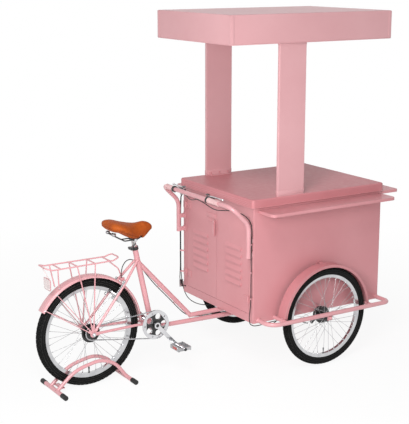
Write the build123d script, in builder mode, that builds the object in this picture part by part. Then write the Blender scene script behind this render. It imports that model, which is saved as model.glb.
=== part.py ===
from build123d import *

import math
import os

os.makedirs("parts", exist_ok=True)

# Bicycle food cart. X forward, Y to the rider's left, Z up, origin on the ground below the middle
# of the whole cart. Lengths in millimetres.

# Wheels and their places
wheel_base = 1286.0
rear_tyre_radius = 305.0
rear_tyre_width = 54.0
front_tyre_radius = 289.0
front_tyre_width = 50.0
track_half = 433.0
tyre_wall = 4.0
rear_seat_drop = 48.0
front_seat_drop = 45.0

# Reach of the front shelf ahead of the front axle, which sets the front end of the cart
front_reach = 592.0
front_x = (wheel_base + rear_tyre_radius - front_reach) / 2
rear_x = front_x - wheel_base
front_z = front_tyre_radius
rear_z = rear_tyre_radius

# Cabinet
box_back = front_x - 454.0
box_front = front_x + 452.0
box_half = 371.0
base_low = 301.0
base_top = 325.0
rail = 24.0
rail_wall = 2.0
sheet = 2.0
wall_top = 1005.0
counter_top_z = 1007.0
counter_skirt_z = 959.0
counter_back = front_x - 469.0
counter_front = front_x + 460.0
counter_half = 381.0
floor_top = base_top + sheet

# Doors
door_low = 350.0
door_high = 900.0
door_edge = 327.0
door_gap = 1.5
door_depth = 18.0
jamb = 330.0
hinge_offset = 6.0
hinge_line = 331.0
hinge_heights = (430.0, 850.0)
knuckle_radius = 5.5
pin_radius = 3.0
pin_clearance = 0.05

# Posts and canopy
post_back = front_x - 299.0
post_front = front_x - 119.0
post_inner = 356.0
post_outer = 374.0
beam_low = 1971.0
beam_high = 1995.0
canopy_back = front_x - 615.0
canopy_front = front_x + 473.0
canopy_half = 379.5
canopy_low = 1840.0
canopy_high = 1997.0
canopy_lip = 25.0

# Shelves
shelf_thick = 16.0
side_shelf_top = 945.0
side_shelf_back = front_x - 426.0
side_shelf_front = front_x + 446.0
side_shelf_inner = 375.0
side_shelf_outer = 511.0
front_shelf_top = 953.0
front_shelf_back = front_x + 456.0
front_shelf_front = front_x + 592.0
front_shelf_half = 366.0
shelf_axis_drop = 8.0
shelf_axis_in = 4.0
shelf_pin = 2.5

# Bumpers and front fenders
bumper_tube = 12.5
bumper_z = 314.0
bumper_y = 490.0
strut_tube = 11.0
strut_x = 305.0

# Bicycle frame
frame_tube = 13.0
seat_tube_outer = 15.5
seat_tube_bore = 12.55
stay_tube = 7.5
bb_x = front_x - 894.0
bb_z = 286.0
bb_shell = 20.0
head_outer = 24.0
head_bore = 19.0
head_low = 221.3
head_high = 297.7
king_pin_radius = 8.0
axle_rear = 5.0
axle_front = 4.75
cone_radius = 8.94
hub_bore = 9.0

# Drive
crank_length = 175.0
crank_angle = -48.0
ring_pitch = 80.9
sprocket_pitch = 36.57
chain_y = 48.0

# Handlebar and brakes
bar_tube = 12.5
bar_x = front_x - 597.0
bar_z = 978.0
leg_x = front_x - 488.0
leg_half = 371.0
cable_radius = 2.5

# Seat
seat_dir = (-0.2116, 0.0, 0.9774)
post_tube = 12.5
spoke_radius = 1.0


def block(x, y, z, mode=Mode.ADD):
    with Locations(((x[0] + x[1]) / 2, (y[0] + y[1]) / 2, (z[0] + z[1]) / 2)):
        Box(x[1] - x[0], y[1] - y[0], z[1] - z[0], mode=mode)


def block_on(plane, x, y, z, mode=Mode.ADD):
    with Locations(plane):
        with Locations(((x[0] + x[1]) / 2, (y[0] + y[1]) / 2, (z[0] + z[1]) / 2)):
            Box(x[1] - x[0], y[1] - y[0], z[1] - z[0], mode=mode)


def ahead(points):
    return [(front_x + x, y, z) for x, y, z in points]


def rod(points, radius, bends=None, mode=Mode.ADD):
    with BuildLine() as route:
        if len(points) == 2:
            Line(*points)
        else:
            FilletPolyline(*points, radius=bends)
    with BuildSketch(Plane(origin=route.line @ 0, z_dir=route.line % 0)) as ring:
        Circle(radius)
    sweep(ring.sketch, path=route.line, mode=mode)


def prism(points, radius, height_from, height_to, axis="y", sides=0, mode=Mode.ADD):
    # round or hexagonal bars along X, Y or Z through each of the points
    directions = {"x": (1, 0, 0), "y": (0, 1, 0), "z": (0, 0, 1)}
    for point in points:
        along = directions[axis]
        start = tuple(p + height_from * d for p, d in zip(point, along))
        with BuildSketch(Plane(origin=start, z_dir=along)) as face:
            if sides:
                RegularPolygon(radius, sides)
            else:
                Circle(radius)
        extrude(face.sketch, amount=height_to - height_from, mode=mode)


def turned(centre, outline, mode=Mode.ADD):
    # outline of (radius, across) pairs turned about the wheel axis, which runs along Y
    plane = Plane(origin=centre, x_dir=(0, 0, 1), z_dir=(-1, 0, 0))
    with BuildSketch(plane) as face:
        with BuildLine():
            Polyline(*outline, close=True)
        make_face()
    revolve(face.sketch, axis=Axis(centre, (0, 1, 0)), mode=mode)


def arc_piece(centre, outline, start, sweep_angle, mode=Mode.ADD):
    # outline of (radius, across) pairs turned from the start angle, counted up from forward
    a = math.radians(start)
    radial = (math.cos(a), 0, math.sin(a))
    plane = Plane(origin=centre, x_dir=radial, z_dir=(math.sin(a), 0, -math.cos(a)))
    with BuildSketch(plane) as face:
        with BuildLine():
            Polyline(*outline, close=True)
        make_face()
    revolve(face.sketch, axis=Axis(centre, (0, -1, 0)), revolution_arc=sweep_angle, mode=mode)


def profile_block(points, y_from, y_to, mode=Mode.ADD):
    # outline of (x, z) pairs carried along Y
    with BuildSketch(Plane(origin=(0, y_from, 0), x_dir=(1, 0, 0), z_dir=(0, -1, 0))) as face:
        with BuildLine():
            Polyline(*points, close=True)
        make_face()
    extrude(face.sketch, amount=-(y_to - y_from), mode=mode)


def cord_bends(points):
    # largest arcs the runs allow: 0.45 of the shorter run over the tangent of half the turn
    bends = []
    for a, b, c in zip(points, points[1:], points[2:]):
        before = Vector(*b) - Vector(*a)
        after = Vector(*c) - Vector(*b)
        turn = math.radians(before.get_angle(after))
        bends.append(0.45 * min(before.length, after.length) / math.tan(turn / 2))
    return bends


def cord(points, radius, mode=Mode.ADD):
    rod(points, radius, cord_bends(points), mode)


def tyre(centre, outer_radius, width, drop):
    half = width / 2
    middle = outer_radius - half
    plane = Plane(origin=centre, x_dir=(0, 0, 1), z_dir=(-1, 0, 0))
    with BuildSketch(plane) as face:
        with Locations((middle, 0)):
            Circle(half)
            Circle(half - tyre_wall, mode=Mode.SUBTRACT)
        low = middle - half - 2
        with Locations(((low + outer_radius - drop) / 2, 0)):
            Rectangle(outer_radius - drop - low, width + 4, mode=Mode.SUBTRACT)
    revolve(face.sketch, axis=Axis(centre, (0, 1, 0)))


def rim(centre, seat, outer_half, inner_half, depth):
    turned(centre, [
        (seat, -outer_half), (seat, -outer_half + 2.4), (seat - depth + 2, -inner_half + 1.6),
        (seat - depth + 2, inner_half - 1.6), (seat, outer_half - 2.4), (seat, outer_half),
        (seat - depth, inner_half), (seat - depth, -inner_half),
    ])


def spoke_group(centre, hub_radius, hub_y, rim_radius, rim_y, start, cross):
    # nine spokes of one flange that lean the same way
    a = math.radians(cross)
    foot = Vector(hub_radius, 0, hub_y)
    tip = Vector(rim_radius * math.cos(a), rim_radius * math.sin(a), rim_y)
    way = (tip - foot).normalized()
    neck = tip - way * 12
    with Locations(Plane(origin=centre, x_dir=(1, 0, 0), z_dir=(0, -1, 0))):
        with PolarLocations(0, 9, start_angle=start):
            with Locations(Plane(origin=foot, z_dir=way)):
                Cylinder(spoke_radius, (neck - foot).length, align=(Align.CENTER, Align.CENTER, Align.MIN))
            with Locations(Plane(origin=neck, z_dir=way)):
                Cylinder(2.0, 12, align=(Align.CENTER, Align.CENTER, Align.MIN))


def hinge_leaf(side, from_y, to_y, z):
    inner, outer = sorted((side * from_y, side * to_y))
    block((box_back - 3, box_back), (inner, outer), (z - 20, z + 20))


def door_body(side):
    # folded sheet tray with a row of louvres and half of each hinge
    ys = sorted((side * door_gap, side * door_edge))
    block((box_back, box_back + door_depth), ys, (door_low, door_high))
    block((box_back + sheet, box_back + door_depth + 1), (ys[0] + sheet, ys[1] - sheet),
          (door_low + sheet, door_high - sheet), Mode.SUBTRACT)
    lou = sorted((side * 96.0, side * 253.0))
    for row in range(6):
        z = 490.0 + 41.0 * row
        x = box_back
        profile_block([(x + 0.5, z), (x + 0.5, z + 25), (x - 8, z + 4), (x - 8, z)], lou[0], lou[1])
        profile_block([(x + 2.2, z - 0.1), (x + 2.2, z + 21), (x - 6.4, z + 3.4), (x - 6.4, z - 0.1)],
                      lou[0] + 1.6, lou[1] - 1.6, Mode.SUBTRACT)
    axis_x = box_back - hinge_offset
    for z in hinge_heights:
        hinge_leaf(side, hinge_line - 48, hinge_line - 7, z)
        tab = sorted((side * hinge_line, side * (hinge_line - 8)))
        block((box_back - 3, box_back - 0.7), tab, (z + 0.2, z + 20))
        prism([(axis_x, side * hinge_line, z)], knuckle_radius, 0.2, 20, "z")
        prism([(axis_x, side * hinge_line, z)], pin_radius + pin_clearance, -1, 21, "z", 0, Mode.SUBTRACT)
        # keeps the leaf clear of the knuckle that stays on the cabinet
        cut = sorted((side * (hinge_line - 7), side * (hinge_line + 7)))
        block((box_back - 12, box_back - 0.01), cut, (z - 21, z + 0.2), Mode.SUBTRACT)


# The side of each mirrored pair: +1 is the rider's left
sides = (1, -1)

with BuildPart() as base_frame:
    block((box_back, box_front), (-box_half, box_half), (base_low, base_top))
    block((box_back + rail, box_front - rail), (-box_half + rail, box_half - rail),
          (base_low - 1, base_top + 1), Mode.SUBTRACT)
    for x in (-45, 45):
        block((front_x + x - 12, front_x + x + 12), (-box_half + rail - 1, box_half - rail + 1),
              (base_low, base_top))
    w = rail_wall
    for x in (box_back, box_front - rail, front_x - 57, front_x + 33):
        block((x + w, x + rail - w), (-box_half + w, box_half - w), (base_low + w, base_top - w), Mode.SUBTRACT)
    for y in (-box_half, box_half - rail):
        block((box_back + w, box_front - w), (y + w, y + rail - w), (base_low + w, base_top - w), Mode.SUBTRACT)
    drains = [(x, y, base_low) for x in (box_back + 12, box_front - 12) for y in (-300, 300)]
    prism(drains, 4, -1, 4, "z", 0, Mode.SUBTRACT)
    block((front_x - 33, front_x + 33), (-60, 60), (base_low, base_low + 6))
    block((front_x - 34, front_x + 51), (-32, 32), (212, 218))
    block((front_x + 45, front_x + 51), (-32, 32), (212, base_low))
    prism([(front_x, 0, 0)], king_pin_radius + 0.02, 200, 320, "z", 0, Mode.SUBTRACT)
    for side in sides:
        ys = sorted((side * box_half, side * 383))
        block((front_x - 20, front_x + 20), ys, (303, base_top))
        ys = sorted((side * 378, side * 383))
        block((front_x - 16, front_x + 16), ys, (274, 304))
        prism([(front_x, 0, front_z)], axle_front + 0.05, side * 370, side * 390, "y", 0, Mode.SUBTRACT)
base_frame.part.label = "base_frame"
export_step(base_frame.part, "parts/base_frame.step")

with BuildPart() as cabinet_body:
    block((box_back, box_front), (-box_half, box_half), (base_top, wall_top))
    fillet(cabinet_body.edges().filter_by(Axis.Z), 5)
    block((box_back + sheet, box_front - sheet), (-box_half + sheet, box_half - sheet),
          (floor_top, wall_top - sheet), Mode.SUBTRACT)
    # turned-in top flange under the counter
    block((box_back + 40, box_front - 40), (-box_half + 40, box_half - 40),
          (wall_top - 3, wall_top + 1), Mode.SUBTRACT)
    # door opening, its folded jamb and the stop behind the doors
    block((box_back, box_back + 21), (-jamb - 2, jamb + 2), (door_low - 4, door_high + 4))
    block((box_back - 1, box_back + 19), (-jamb, jamb), (door_low - 2, door_high + 2), Mode.SUBTRACT)
    block((box_back - 1, box_back + 22), (-jamb + 10, jamb - 10), (door_low + 8, door_high - 8), Mode.SUBTRACT)
    prism([(front_x, 0, 0)], 5, base_top - 1, floor_top + 1, "z", 0, Mode.SUBTRACT)
    prism([(0, 351, 338.5)], 5.5, box_back - 1, box_back + 3, "x", 0, Mode.SUBTRACT)
    for side in sides:
        axis = (box_back - hinge_offset, side * hinge_line, 0)
        for z in hinge_heights:
            hinge_leaf(side, hinge_line + 7, hinge_line + 35, z)
            tab = sorted((side * hinge_line, side * (hinge_line + 8)))
            block((box_back - 3, box_back - 0.7), tab, (z - 20, z - 0.2))
            prism([axis], knuckle_radius, z - 20, z - 0.2, "z")
            prism([axis], pin_radius + pin_clearance, z - 21, z + 21, "z", 0, Mode.SUBTRACT)
        for x in (-269, -209, -149):
            prism([(front_x + x, side * 344, 0)], 3.1, wall_top - 3, wall_top + 1, "z", 0, Mode.SUBTRACT)
cabinet_body.part.label = "cabinet_body"
export_step(cabinet_body.part, "parts/cabinet_body.step")

with BuildPart() as counter_top:
    block((counter_back, counter_front), (-counter_half, counter_half), (counter_skirt_z, counter_top_z))
    fillet(counter_top.edges().filter_by(Axis.Z), 16)
    fillet(counter_top.faces().sort_by(Axis.Z)[-1].edges(), 8)
    offset(counter_top.part, amount=-sheet, openings=counter_top.faces().sort_by(Axis.Z)[0],
           mode=Mode.REPLACE)
    for side in sides:
        for x in (-269, -209, -149):
            prism([(front_x + x, side * 344, 0)], 3.1, 1000, 1010, "z", 0, Mode.SUBTRACT)
counter_top.part.label = "counter_top"
export_step(counter_top.part, "parts/counter_top.step")

with BuildPart() as canopy_posts:
    for side in sides:
        ys = sorted((side * post_inner, side * post_outer))
        block((post_back, post_front), ys, (counter_top_z, beam_low))
    fillet(canopy_posts.edges().filter_by(Axis.Z), 4)
    for side in sides:
        ys = sorted((side * (post_inner + 1.5), side * (post_outer - 1.5)))
        block((post_back + 1.5, post_front - 1.5), ys, (counter_top_z - 1, beam_low + 1), Mode.SUBTRACT)
        for z in (1021, 1957):
            for x in (-269, -209, -149):
                prism([(front_x + x, 0, z)], 3.1, side * 350, side * 360, "y", 0, Mode.SUBTRACT)
canopy_posts.part.label = "canopy_posts"
export_step(canopy_posts.part, "parts/canopy_posts.step")

beam_xs = (front_x - 590, front_x - 269, front_x - 173, front_x + 424)
with BuildPart() as canopy_frame:
    for side in sides:
        ys = sorted((side * 352, side * 376))
        block((front_x - 605, front_x + 463), ys, (beam_low, beam_high))
    for x in beam_xs:
        block((x, x + rail), (-360, 360), (beam_low, beam_high))
    for side in sides:
        ys = sorted((side * 354, side * 374))
        block((front_x - 606, front_x + 464), ys, (beam_low + 2, beam_high - 2), Mode.SUBTRACT)
    for x in beam_xs:
        block((x + 2, x + rail - 2), (-360, 360), (beam_low + 2, beam_high - 2), Mode.SUBTRACT)
    for side in sides:
        for z_leg, z_flat in (((1007, 1032), (1007, 1010)), ((1946, 1971), (1968, 1971))):
            ys = sorted((side * 353, side * post_inner))
            block((front_x - 284, front_x - 134), ys, z_leg)
            ys = sorted((side * 331, side * post_inner))
            block((front_x - 284, front_x - 134), ys, z_flat)
        for x in (-269, -209, -149):
            for z in (1021, 1957):
                prism([(front_x + x, 0, z)], 3.1, side * 350, side * 356.5, "y", 0, Mode.SUBTRACT)
            prism([(front_x + x, side * 344, 0)], 3.1, 1000, 1011, "z", 0, Mode.SUBTRACT)
canopy_frame.part.label = "canopy_frame"
export_step(canopy_frame.part, "parts/canopy_frame.step")

with BuildPart() as canopy_shell:
    block((canopy_back, canopy_front), (-canopy_half, canopy_half), (canopy_low, canopy_high))
    fillet(canopy_shell.edges().filter_by(Axis.Z), 8)
    fillet(canopy_shell.faces().sort_by(Axis.Z)[-1].edges(), 5)
    block((canopy_back + sheet, canopy_front - sheet), (-canopy_half + sheet, canopy_half - sheet),
          (canopy_low + sheet, canopy_high - sheet), Mode.SUBTRACT)
    block((canopy_back + canopy_lip, canopy_front - canopy_lip),
          (-canopy_half + canopy_lip, canopy_half - canopy_lip), (canopy_low - 1, canopy_low + 3), Mode.SUBTRACT)
    block((post_back - 3, post_front + 3), (-canopy_half + sheet, canopy_half - sheet),
          (canopy_low - 1, canopy_low + 3), Mode.SUBTRACT)
canopy_shell.part.label = "canopy_shell"
export_step(canopy_shell.part, "parts/canopy_shell.step")

with BuildPart() as side_bumpers:
    for side in sides:
        path = ahead([(-415, side * box_half, bumper_z), (-415, side * bumper_y, bumper_z),
                      (436, side * bumper_y, bumper_z), (436, side * box_half, bumper_z)])
        rod(path, bumper_tube, [65, 35])
        for x in (-strut_x, strut_x):
            rod(ahead([(x, side * box_half, bumper_z), (x, side * bumper_y, bumper_z)]), strut_tube)
        ys = sorted((side * 483, side * 488))
        block((front_x - 16, front_x + 16), ys, (276, bumper_z))
    for side in sides:
        path = ahead([(-415, side * (box_half - 1), bumper_z), (-415, side * bumper_y, bumper_z),
                      (436, side * bumper_y, bumper_z), (436, side * (box_half - 1), bumper_z)])
        rod(path, bumper_tube - 2, [65, 35], Mode.SUBTRACT)
        for x in (-strut_x, strut_x):
            rod(ahead([(x, side * (box_half - 1), bumper_z), (x, side * bumper_y, bumper_z)]),
                strut_tube - 2, None, Mode.SUBTRACT)
        prism([(front_x, 0, front_z)], axle_front + 0.05, side * 480, side * 492, "y", 0, Mode.SUBTRACT)
side_bumpers.part.label = "side_bumpers"
export_step(side_bumpers.part, "parts/side_bumpers.step")

with BuildPart() as front_fenders:
    for side in sides:
        outline = [(291, -34), (305, -34), (305, 34), (291, 34), (291, 32), (303, 32), (303, -32), (291, -32)]
        arc_piece((front_x, side * track_half, front_z), outline, 7, 166)
        ys = sorted((side * box_half, side * 425))
        block((front_x - 12, front_x + 12), ys, (593.6, 597))
        ys = sorted((side * box_half, side * (box_half + 3)))
        block((front_x - 12, front_x + 12), ys, (566, 597))
front_fenders.part.label = "front_fenders"
export_step(front_fenders.part, "parts/front_fenders.step")

bar_path = [(leg_x, leg_half, 684), (leg_x, leg_half, 872), (bar_x, leg_half, bar_z),
            (bar_x, -leg_half, bar_z), (leg_x, -leg_half, 872), (leg_x, -leg_half, 684)]
bar_bends = [90, 55, 55, 90]
with BuildPart() as handlebar:
    rod(bar_path, bar_tube, bar_bends)
    for side in sides:
        ys = sorted((side * 355, side * 368))
        for z in (700, 780):
            block((leg_x, box_back), ys, (z - 12, z + 12))
            block((box_back - 3, box_back), sorted((side * 345, side * 368)), (z - 18, z + 18))
    rod(bar_path, bar_tube - 2, bar_bends, Mode.SUBTRACT)
handlebar.part.label = "handlebar"
export_step(handlebar.part, "parts/handlebar.step")

with BuildPart() as handlebar_grips:
    for y_from, y_to in ((241, 316), (-240, -140)):
        prism([(bar_x, 0, bar_z)], 15, y_from, y_to, "y")
        prism([(bar_x, 0, bar_z)], bar_tube, y_from - 1, y_to + 1, "y", 0, Mode.SUBTRACT)
handlebar_grips.part.label = "handlebar_grips"
export_step(handlebar_grips.part, "parts/handlebar_grips.step")

# Brake lever: the clamp ring sits at ring_y, the lever pivot inboard of it
lever_x = front_x - 566.0
lever_z = 990.0
lever_places = ((1, 231.0), (-1, 131.0))
with BuildPart() as brake_lever_mounts:
    for side, ring_y in lever_places:
        prism([(bar_x, 0, bar_z)], 17, side * (ring_y - 7), side * (ring_y + 7), "y")
        ys = sorted((side * (ring_y - 64), side * (ring_y + 7)))
        block((bar_x + 14, lever_x + 8), ys, (lever_z - 27, lever_z - 6))
        pivot = (lever_x, side * (ring_y - 52), 0)
        prism([pivot], 2.5, lever_z - 7, lever_z + 6, "z")
        prism([pivot], 5, lever_z + 4.3, lever_z + 7, "z")
        prism([(front_x - 575, 0, lever_z - 19)], 4.5, side * (ring_y - 74), side * (ring_y - 64), "y")
    prism([(front_x - 572, 200, 0)], 4.5, 955, 966, "z")
    for side, ring_y in lever_places:
        prism([(bar_x, 0, bar_z)], bar_tube, side * (ring_y - 75), side * (ring_y + 9), "y", 0, Mode.SUBTRACT)
brake_lever_mounts.part.label = "brake_lever_mounts"
export_step(brake_lever_mounts.part, "parts/brake_lever_mounts.step")


def lever_blade(side, ring_y):
    pivot_y = ring_y - 52
    prism([(lever_x, side * pivot_y, 0)], 8, lever_z - 5.7, lever_z + 4, "z")
    path = [(lever_x, side * pivot_y, lever_z - 1), (lever_x + 9, side * (pivot_y + 45), lever_z - 1),
            (lever_x + 12, side * (ring_y + 84), lever_z - 1)]
    rod(path, 4, [80])
    with Locations(path[2]):
        Sphere(7)
    prism([(lever_x, side * pivot_y, 0)], 2.55, lever_z - 7, lever_z + 6, "z", 0, Mode.SUBTRACT)


with BuildPart() as brake_lever_left:
    lever_blade(1, 231.0)
brake_lever_left.part.label = "brake_lever_left"
export_step(brake_lever_left.part, "parts/brake_lever_left.step")

with BuildPart() as brake_lever_right:
    lever_blade(-1, 131.0)
brake_lever_right.part.label = "brake_lever_right"
export_step(brake_lever_right.part, "parts/brake_lever_right.step")

with BuildPart() as king_pin:
    prism([(front_x, 0, 0)], king_pin_radius, 204, 313, "z")
    prism([(front_x, 0, 0)], 13, 307, 313, "z", 6)
    prism([(front_x, 0, 0)], 13, 204, 212, "z", 6)
    prism([(front_x, 0, 0)], 4, 200, 320, "z", 0, Mode.SUBTRACT)
king_pin.part.label = "king_pin"
export_step(king_pin.part, "parts/king_pin.step")

with BuildPart() as front_axles:
    for side in sides:
        axle = [(front_x, 0, front_z)]
        prism(axle, axle_front, side * 371.2, side * 494, "y")
        prism(axle, 9, side * 372, side * 378, "y", 6)
        prism(axle, 9, side * 488, side * 494, "y", 6)
        for y_from, y_to in ((383, 384.4), (387.6, 411.3), (468.7, 483)):
            prism(axle, 7, side * y_from, side * y_to, "y")
        for y_from, y_to in ((411.3, 425), (455, 468.7)):
            prism(axle, cone_radius, side * y_from, side * y_to, "y")
front_axles.part.label = "front_axles"
export_step(front_axles.part, "parts/front_axles.step")

with BuildPart() as front_brake_plates:
    for side in sides:
        axle = [(front_x, 0, front_z)]
        prism(axle, 44, side * 384.5, side * 387.5, "y")
        prism(axle, 37.5, side * 387.5, side * 407, "y")
        prism(axle, 30, side * 387.5, side * 408, "y", 0, Mode.SUBTRACT)
        prism(axle, axle_front + 0.05, side * 384, side * 389, "y", 0, Mode.SUBTRACT)
        arm_plane = Plane(origin=(front_x, 0, front_z), x_dir=(-0.7660, 0, -0.6428), z_dir=(0, 1, 0))
        zs = sorted((side * 384.5, side * 387.5))
        block_on(arm_plane, (38, 74), (-9, 9), zs)
        zs = sorted((side * 377, side * 387.5))
        block_on(arm_plane, (60, 74), (-7, 7), zs)
front_brake_plates.part.label = "front_brake_plates"
export_step(front_brake_plates.part, "parts/front_brake_plates.step")

# Brake cables on the cabinet. Each route is a list of (ahead of the front axle, y, z).
left_route = ahead([
    (-572, 200, 954.9), (-572, 200, 928), (-561, 226, 913), (-534, 270, 909), (-505, 314, 911),
    (-484, 347, 904), (-472, 367, 874), (-470.5, 374, 824), (-471, 374.6, 770), (-471.3, 374.2, 706),
    (-471.6, 374, 638), (-471, 374.8, 566),
    (-471.7, 374.2, 492), (-470.5, 374.8, 420), (-462, 375.4, 352), (-446, 376, 296), (-424, 376.8, 254),
    (-390, 377.6, 222), (-345, 378.4, 197), (-293, 379, 181), (-236, 379.6, 176), (-180, 380, 184),
    (-130, 380.6, 205), (-88, 381.5, 226)])
right_route = ahead([
    (-575, 156.9, 971), (-575, 118, 971), (-573, 70, 959), (-570, 20, 951), (-570, -30, 946), (-571, -76, 939),
    (-574, -124, 931), (-574, -169, 928), (-575, -212, 932), (-574, -256, 941), (-571, -300, 949),
    (-558, -340, 950), (-530, -362, 938), (-500, -374, 914), (-477, -380, 880), (-470.5, -378.5, 826),
    (-471.2, -374.6, 756), (-471.8, -374, 684), (-471, -374.6, 612), (-471.6, -374, 540), (-471, -374.6, 468),
    (-474, -374.3, 400), (-482, -374, 344), (-477, -374.6, 306), (-452, -374.2, 290), (-414, -374.8, 287),
    (-368, -374.2, 292), (-318, -374.6, 294), (-266, -375, 291), (-212, -376, 284), (-158, -377.5, 270),
    (-106, -380, 252), (-78, -381.5, 241)])
rear_route = ahead([
    (-575, -56.9, 971), (-575, -24, 971), (-582, 18, 954), (-574, 66, 940), (-558, 118, 931), (-539, 168, 927),
    (-519, 220, 925), (-500, 272, 924), (-484, 322, 921), (-473, 360, 906), (-470, 379, 866),
    (-470.5, 382, 814), (-471, 381.4, 752), (-471.6, 381.6, 686), (-471, 381, 618), (-471.6, 381.6, 546), (-471, 381, 474),
    (-474, 380, 420), (-480, 374, 384), (-477, 362, 356), (-464, 352.5, 341), (-436, 348, 337), (-396, 335, 338),
    (-350, 300, 340), (-300, 255, 338.5), (-250, 208, 340), (-200, 160, 338.5), (-150, 112, 340),
    (-102, 66, 344), (-62, 36, 358), (-28, 14, 366), (-4, 2, 350), (0, 0, 313.2)])


def tube_report(name, points):
    bends = cord_bends(points)
    runs = [(Vector(*b) - Vector(*a)).length for a, b in zip(points, points[1:])]
    print(name, "runs", round(min(runs)), round(max(runs)), "radii", [round(b) for b in bends])


with BuildPart() as chassis_brake_cables:
    for route in (left_route, right_route, rear_route):
        cord(route, cable_radius)
chassis_brake_cables.part.label = "chassis_brake_cables"
export_step(chassis_brake_cables.part, "parts/chassis_brake_cables.step")
for name, route in (("left cable", left_route), ("right cable", right_route), ("rear cable", rear_route)):
    tube_report(name, route)

side_bracket_xs = (front_x - 280, front_x + 300)
front_bracket_ys = (-240.0, 240.0)
side_axis_y = side_shelf_inner + shelf_axis_in
side_axis_z = side_shelf_top - shelf_thick - shelf_axis_drop
front_axis_x = front_shelf_back + shelf_axis_in
front_axis_z = front_shelf_top - shelf_thick - shelf_axis_drop
with BuildPart() as hinge_pins_and_brackets:
    for side in sides:
        for z in hinge_heights:
            prism([(box_back - hinge_offset, side * hinge_line, z)], pin_radius, -22, 22, "z")
            prism([(box_back - hinge_offset, side * hinge_line, z)], 4.5, 20.3, 23, "z")
        for x in side_bracket_xs:
            ys = sorted((side * box_half, side * (box_half + 3)))
            block((x - 15, x + 15), ys, (side_axis_z - 41, side_axis_z - 4))
            for x_from, x_to in ((x - 15, x - 6), (x + 6, x + 15)):
                ys = sorted((side * box_half, side * side_axis_y))
                block((x_from, x_to), ys, (side_axis_z - 15, side_axis_z))
                prism([(0, side * side_axis_y, side_axis_z)], 5, x_from, x_to, "x")
            prism([(0, side * side_axis_y, side_axis_z)], shelf_pin, x - 16, x + 16, "x")
    for y in front_bracket_ys:
        block((box_front, box_front + 3), (y - 15, y + 15), (front_axis_z - 41, front_axis_z - 4))
        for y_from, y_to in ((y - 15, y - 6), (y + 6, y + 15)):
            block((box_front, front_axis_x), (y_from, y_to), (front_axis_z - 15, front_axis_z))
            prism([(front_axis_x, 0, front_axis_z)], 5, y_from, y_to, "y")
        prism([(front_axis_x, 0, front_axis_z)], shelf_pin, y - 16, y + 16, "y")
hinge_pins_and_brackets.part.label = "hinge_pins_and_brackets"
export_step(hinge_pins_and_brackets.part, "parts/hinge_pins_and_brackets.step")

with BuildPart() as chassis_bolts:
    for side in sides:
        for x in (-269, -209, -149):
            for z in (1021, 1957):
                prism([(front_x + x, 0, z)], 3, side * 353, side * 362, "y")
                prism([(front_x + x, 0, z)], 6, side * 349, side * 353, "y", 6)
            prism([(front_x + x, side * 344, 0)], 3, 996, 1010, "z")
            prism([(front_x + x, side * 344, 0)], 6, 1010, 1014, "z", 6)
            prism([(front_x + x, side * 344, 0)], 6, 998, 1003, "z", 6)
chassis_bolts.part.label = "chassis_bolts"
export_step(chassis_bolts.part, "parts/chassis_bolts.step")

latch_y = 16.0
latch_z = 808.0
with BuildPart() as door_left:
    door_body(1)
    block((box_back - 3, box_back), (4, 92), (latch_z - 12, latch_z + 12))
    prism([(0, latch_y, latch_z)], 4.06, box_back - 4, box_back + 3, "x", 0, Mode.SUBTRACT)
door_left.part.label = "door_left"
export_step(door_left.part, "parts/door_left.step")

with BuildPart() as door_right:
    door_body(-1)
door_right.part.label = "door_right"
export_step(door_right.part, "parts/door_right.step")

with BuildPart() as door_latch:
    prism([(0, latch_y, latch_z)], 4, box_back - 13, box_back + 25, "x")
    block((box_back - 14, box_back - 6), (latch_y - 7, latch_y + 7), (latch_z - 83, latch_z))
    prism([(0, latch_y, latch_z)], 8, box_back - 14, box_back - 6, "x")
    block((box_back + 22, box_back + 25), (latch_y - 5, latch_y + 5), (latch_z - 45, latch_z))
    prism([(0, latch_y, latch_z)], 6, box_back + 20, box_back + 25, "x")
door_latch.part.label = "door_latch"
export_step(door_latch.part, "parts/door_latch.step")


low = side_shelf_top - shelf_thick
with BuildPart() as shelf_left:
    block((side_shelf_back, side_shelf_front), (side_shelf_inner, side_shelf_outer), (low, side_shelf_top))
    fillet(shelf_left.edges().filter_by(Axis.Z).group_by(Axis.Y)[-1], 30)
    fillet(shelf_left.faces().sort_by(Axis.Z)[-1].edges(), 4)
    offset(shelf_left.part, amount=-sheet, openings=shelf_left.faces().sort_by(Axis.Z)[0], mode=Mode.REPLACE)
    for x in side_bracket_xs:
        block((x - 5.7, x + 5.7), (side_shelf_inner, side_axis_y + 5), (side_axis_z, side_shelf_top - 1))
        prism([(0, side_axis_y, side_axis_z)], 5, x - 5.7, x + 5.7, "x")
        prism([(0, side_axis_y, side_axis_z)], shelf_pin + 0.05, x - 7, x + 7, "x", 0, Mode.SUBTRACT)
shelf_left.part.label = "shelf_left"
export_step(shelf_left.part, "parts/shelf_left.step")

with BuildPart() as shelf_right:
    block((side_shelf_back, side_shelf_front), (-side_shelf_outer, -side_shelf_inner), (low, side_shelf_top))
    fillet(shelf_right.edges().filter_by(Axis.Z).group_by(Axis.Y)[0], 30)
    fillet(shelf_right.faces().sort_by(Axis.Z)[-1].edges(), 4)
    offset(shelf_right.part, amount=-sheet, openings=shelf_right.faces().sort_by(Axis.Z)[0], mode=Mode.REPLACE)
    for x in side_bracket_xs:
        block((x - 5.7, x + 5.7), (-side_axis_y - 5, -side_shelf_inner), (side_axis_z, side_shelf_top - 1))
        prism([(0, -side_axis_y, side_axis_z)], 5, x - 5.7, x + 5.7, "x")
        prism([(0, -side_axis_y, side_axis_z)], shelf_pin + 0.05, x - 7, x + 7, "x", 0, Mode.SUBTRACT)
shelf_right.part.label = "shelf_right"
export_step(shelf_right.part, "parts/shelf_right.step")

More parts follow.
